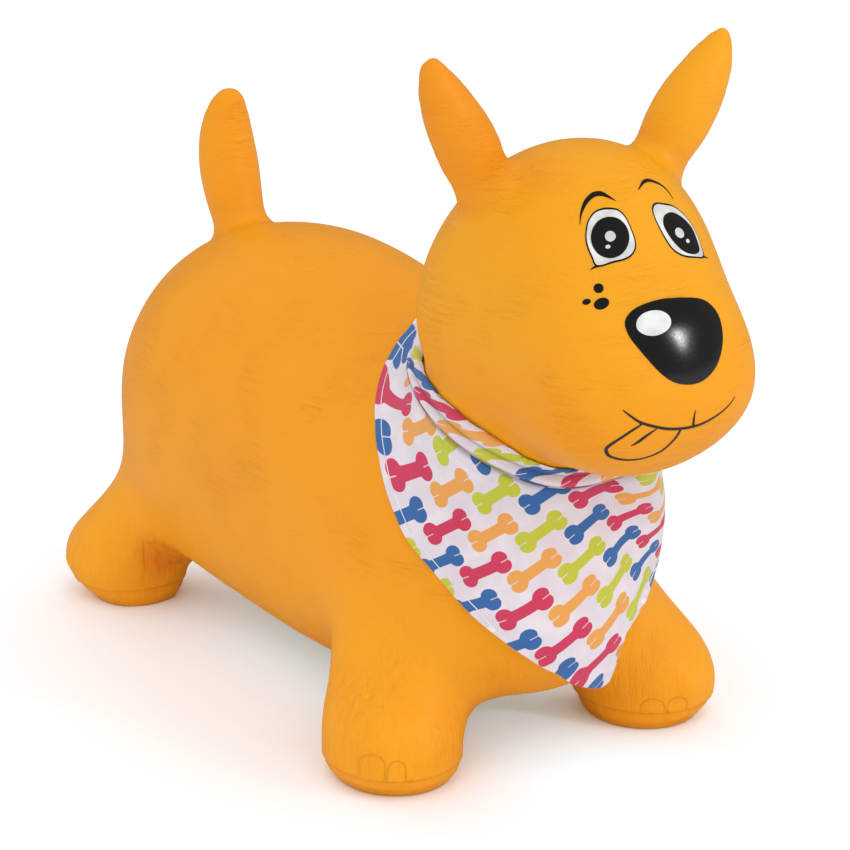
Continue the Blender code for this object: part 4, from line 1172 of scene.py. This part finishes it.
def makeBand(b):
    columns, rows = 240, 30
    obj = newGrid("bandanaBand", columns, rows)
    lay, prints, dark = [], [], []
    for x, y, _ in readPlaces(obj):
        turn = -b["bandEnd"] + 2 * b["bandEnd"] * (x + 0.5)
        wrapped = (turn + 180) % 360 - 180
        v = y + 0.5
        low = easyTable(b["fold"], wrapped)
        over = growing(turn, 150, 17) * b["overlap"]
        free = fading(abs(turn), 162, 20)
        side = sideHang(b, wrapped) * 0.62
        # most of the grid is the rolled front, and the rest turns under its lower edge
        if v < b["bandShare"]:
            s = v / b["bandShare"]
            fall = low - b["bandDeep"] * (1 - s)
            rolls = bell(s, 0.42, 0.20) + 1.1 * bell(s, 0.90, 0.15) + 0.15 * math.sin(turn * 0.09 + s * 3)
            lift = b["bandLift"] * (0.45 + 0.55 * smoothStep(s / 0.4)) + b["bandRoll"] * free * rolls
            side *= smoothStep(s / 0.8)
            up = 0.0
            # painted shade along the roll and where the band meets the jaw
            dark.append((0.75 * bell(s, 0.66, 0.045) + 0.6 * float(fading(s, 0.34, 0.25))) * float(free))
        else:
            s = (v - b["bandShare"]) / (1 - b["bandShare"])
            fall = low + 0.45 * math.sin(math.pi * min(s * 1.6, 1.0)) - b["tuck"] * growing(s, 0.3, 0.7)
            lift = b["bandLift"] + b["bandRoll"] * 0.7 * free - 0.0024 * smoothStep(s / 0.8)
            up = 0.3
            # the turned-under cloth is painted in shade
            dark.append(0.8)
        lay.append(clearOf(onNeck(wrapped, fall, lift + side + over), b["bandGap"]))
        prints.append((4 + (turn + 1.9) / 23.6, (fall - (low - 5.0)) / 13.0 - up))
    # even out along the neck where the jaw presses on the cloth
    lay = np.array(lay).reshape(rows + 1, columns + 1, 3)
    for _ in range(5):
        lay[:, 1:-1] = 0.25 * lay[:, :-2] + 0.5 * lay[:, 1:-1] + 0.25 * lay[:, 2:]
    lay = np.array([clearOf(Vector(q), 0.0005) for q in lay.reshape(-1, 3)])
    setPlaces(obj, lay)
    setNumber(obj, "fromEdge", [0.02] * len(lay))
    setNumber(obj, "foldShade", dark)
    setPrint(obj, prints)
    return obj


band = makeBand(bandana)
finishCloth(band, cotton, "bandana_neck_band", bandana["bandCloth"])


# hook and loop patches close the band at the back of the neck
tape = {
    "halfTurn": 9,
    "deep": 9,
    "above": 3.0,
    "lift": 0.0012,
    "hookLift": 0.0011,
    "thick": 0.0008,
    "plain": (226, 226, 228),
    "tones": ((206, 206, 210), (236, 236, 238)),
    "hookScale": 900.0,
    "loopScale": 1600.0,
    "depth": 0.0005,
    "rough": 0.85,
}


def paintTape(name, t, scale, strength):
    p = Paint(name, shade(*t["plain"]), 0.9)
    at = p.place()
    loops = p.node("ShaderNodeTexVoronoi", None, {"Vector": at, "Scale": scale})
    fuzz = p.noise(at, 1200.0, 3.0)
    p.bump(loops * strength + fuzz, t["depth"])
    p.colour(p.tint(fuzz.ramp(0.3, 0.7), *t["tones"]))
    p.roughness(t["rough"] + (fuzz - 0.5) * 0.2)
    return p.material


def makePatch(name, node, t, level, material):
    obj = newGrid(name, 30, 12)
    lay = []
    for x, y, _ in readPlaces(obj):
        wrapped = (180 + t["halfTurn"] * 2 * x + 180) % 360 - 180
        low = easyTable(bandana["fold"], wrapped) - t["above"]
        lift = bandana["bandLift"] + t["lift"] + level
        lay.append(clearOf(onNeck(wrapped, low - t["deep"] * (0.5 - y), lift), bandana["bandGap"]))
    setPlaces(obj, np.array(lay))
    finishCloth(obj, material, node, t["thick"])


print("hook and loop patches")
loopTape = paintTape("loopTape", tape, tape["loopScale"], 0.4)
makePatch("loopPatch", "bandana_loop_patch", tape, 0.0, loopTape)
hookTape = paintTape("hookTape", tape, tape["hookScale"], 1.0)
makePatch("hookPatch", "bandana_hook_patch", tape, tape["hookLift"], hookTape)


# air valve: the frame's own seat and plug in a cloudy white plastic
valveLook = {
    "plain": (232, 230, 224),
    "tones": ((222, 219, 210), (238, 236, 230)),
    "rough": 0.38,
    "depth": 0.0001,
}


def paintValve(s):
    p = Paint("valvePlastic", shade(*s["plain"]), 0.42)
    at = p.place()
    grain = p.noise(at, 1400.0, 2.0)
    cloudy = p.noise(at, 120.0, 2.0)
    p.bump(grain * 0.6 + cloudy, s["depth"])
    p.colour(p.tint(cloudy.ramp(0.3, 0.7), *s["tones"]))
    p.roughness(s["rough"] + (grain - 0.5) * 0.15)
    return p.material


print("valve")
valvePlastic = paintValve(valveLook)
for node in ("valve_seat", "valve_plug"):
    for s in frame["nodes"][node].material_slots:
        s.material = valvePlastic
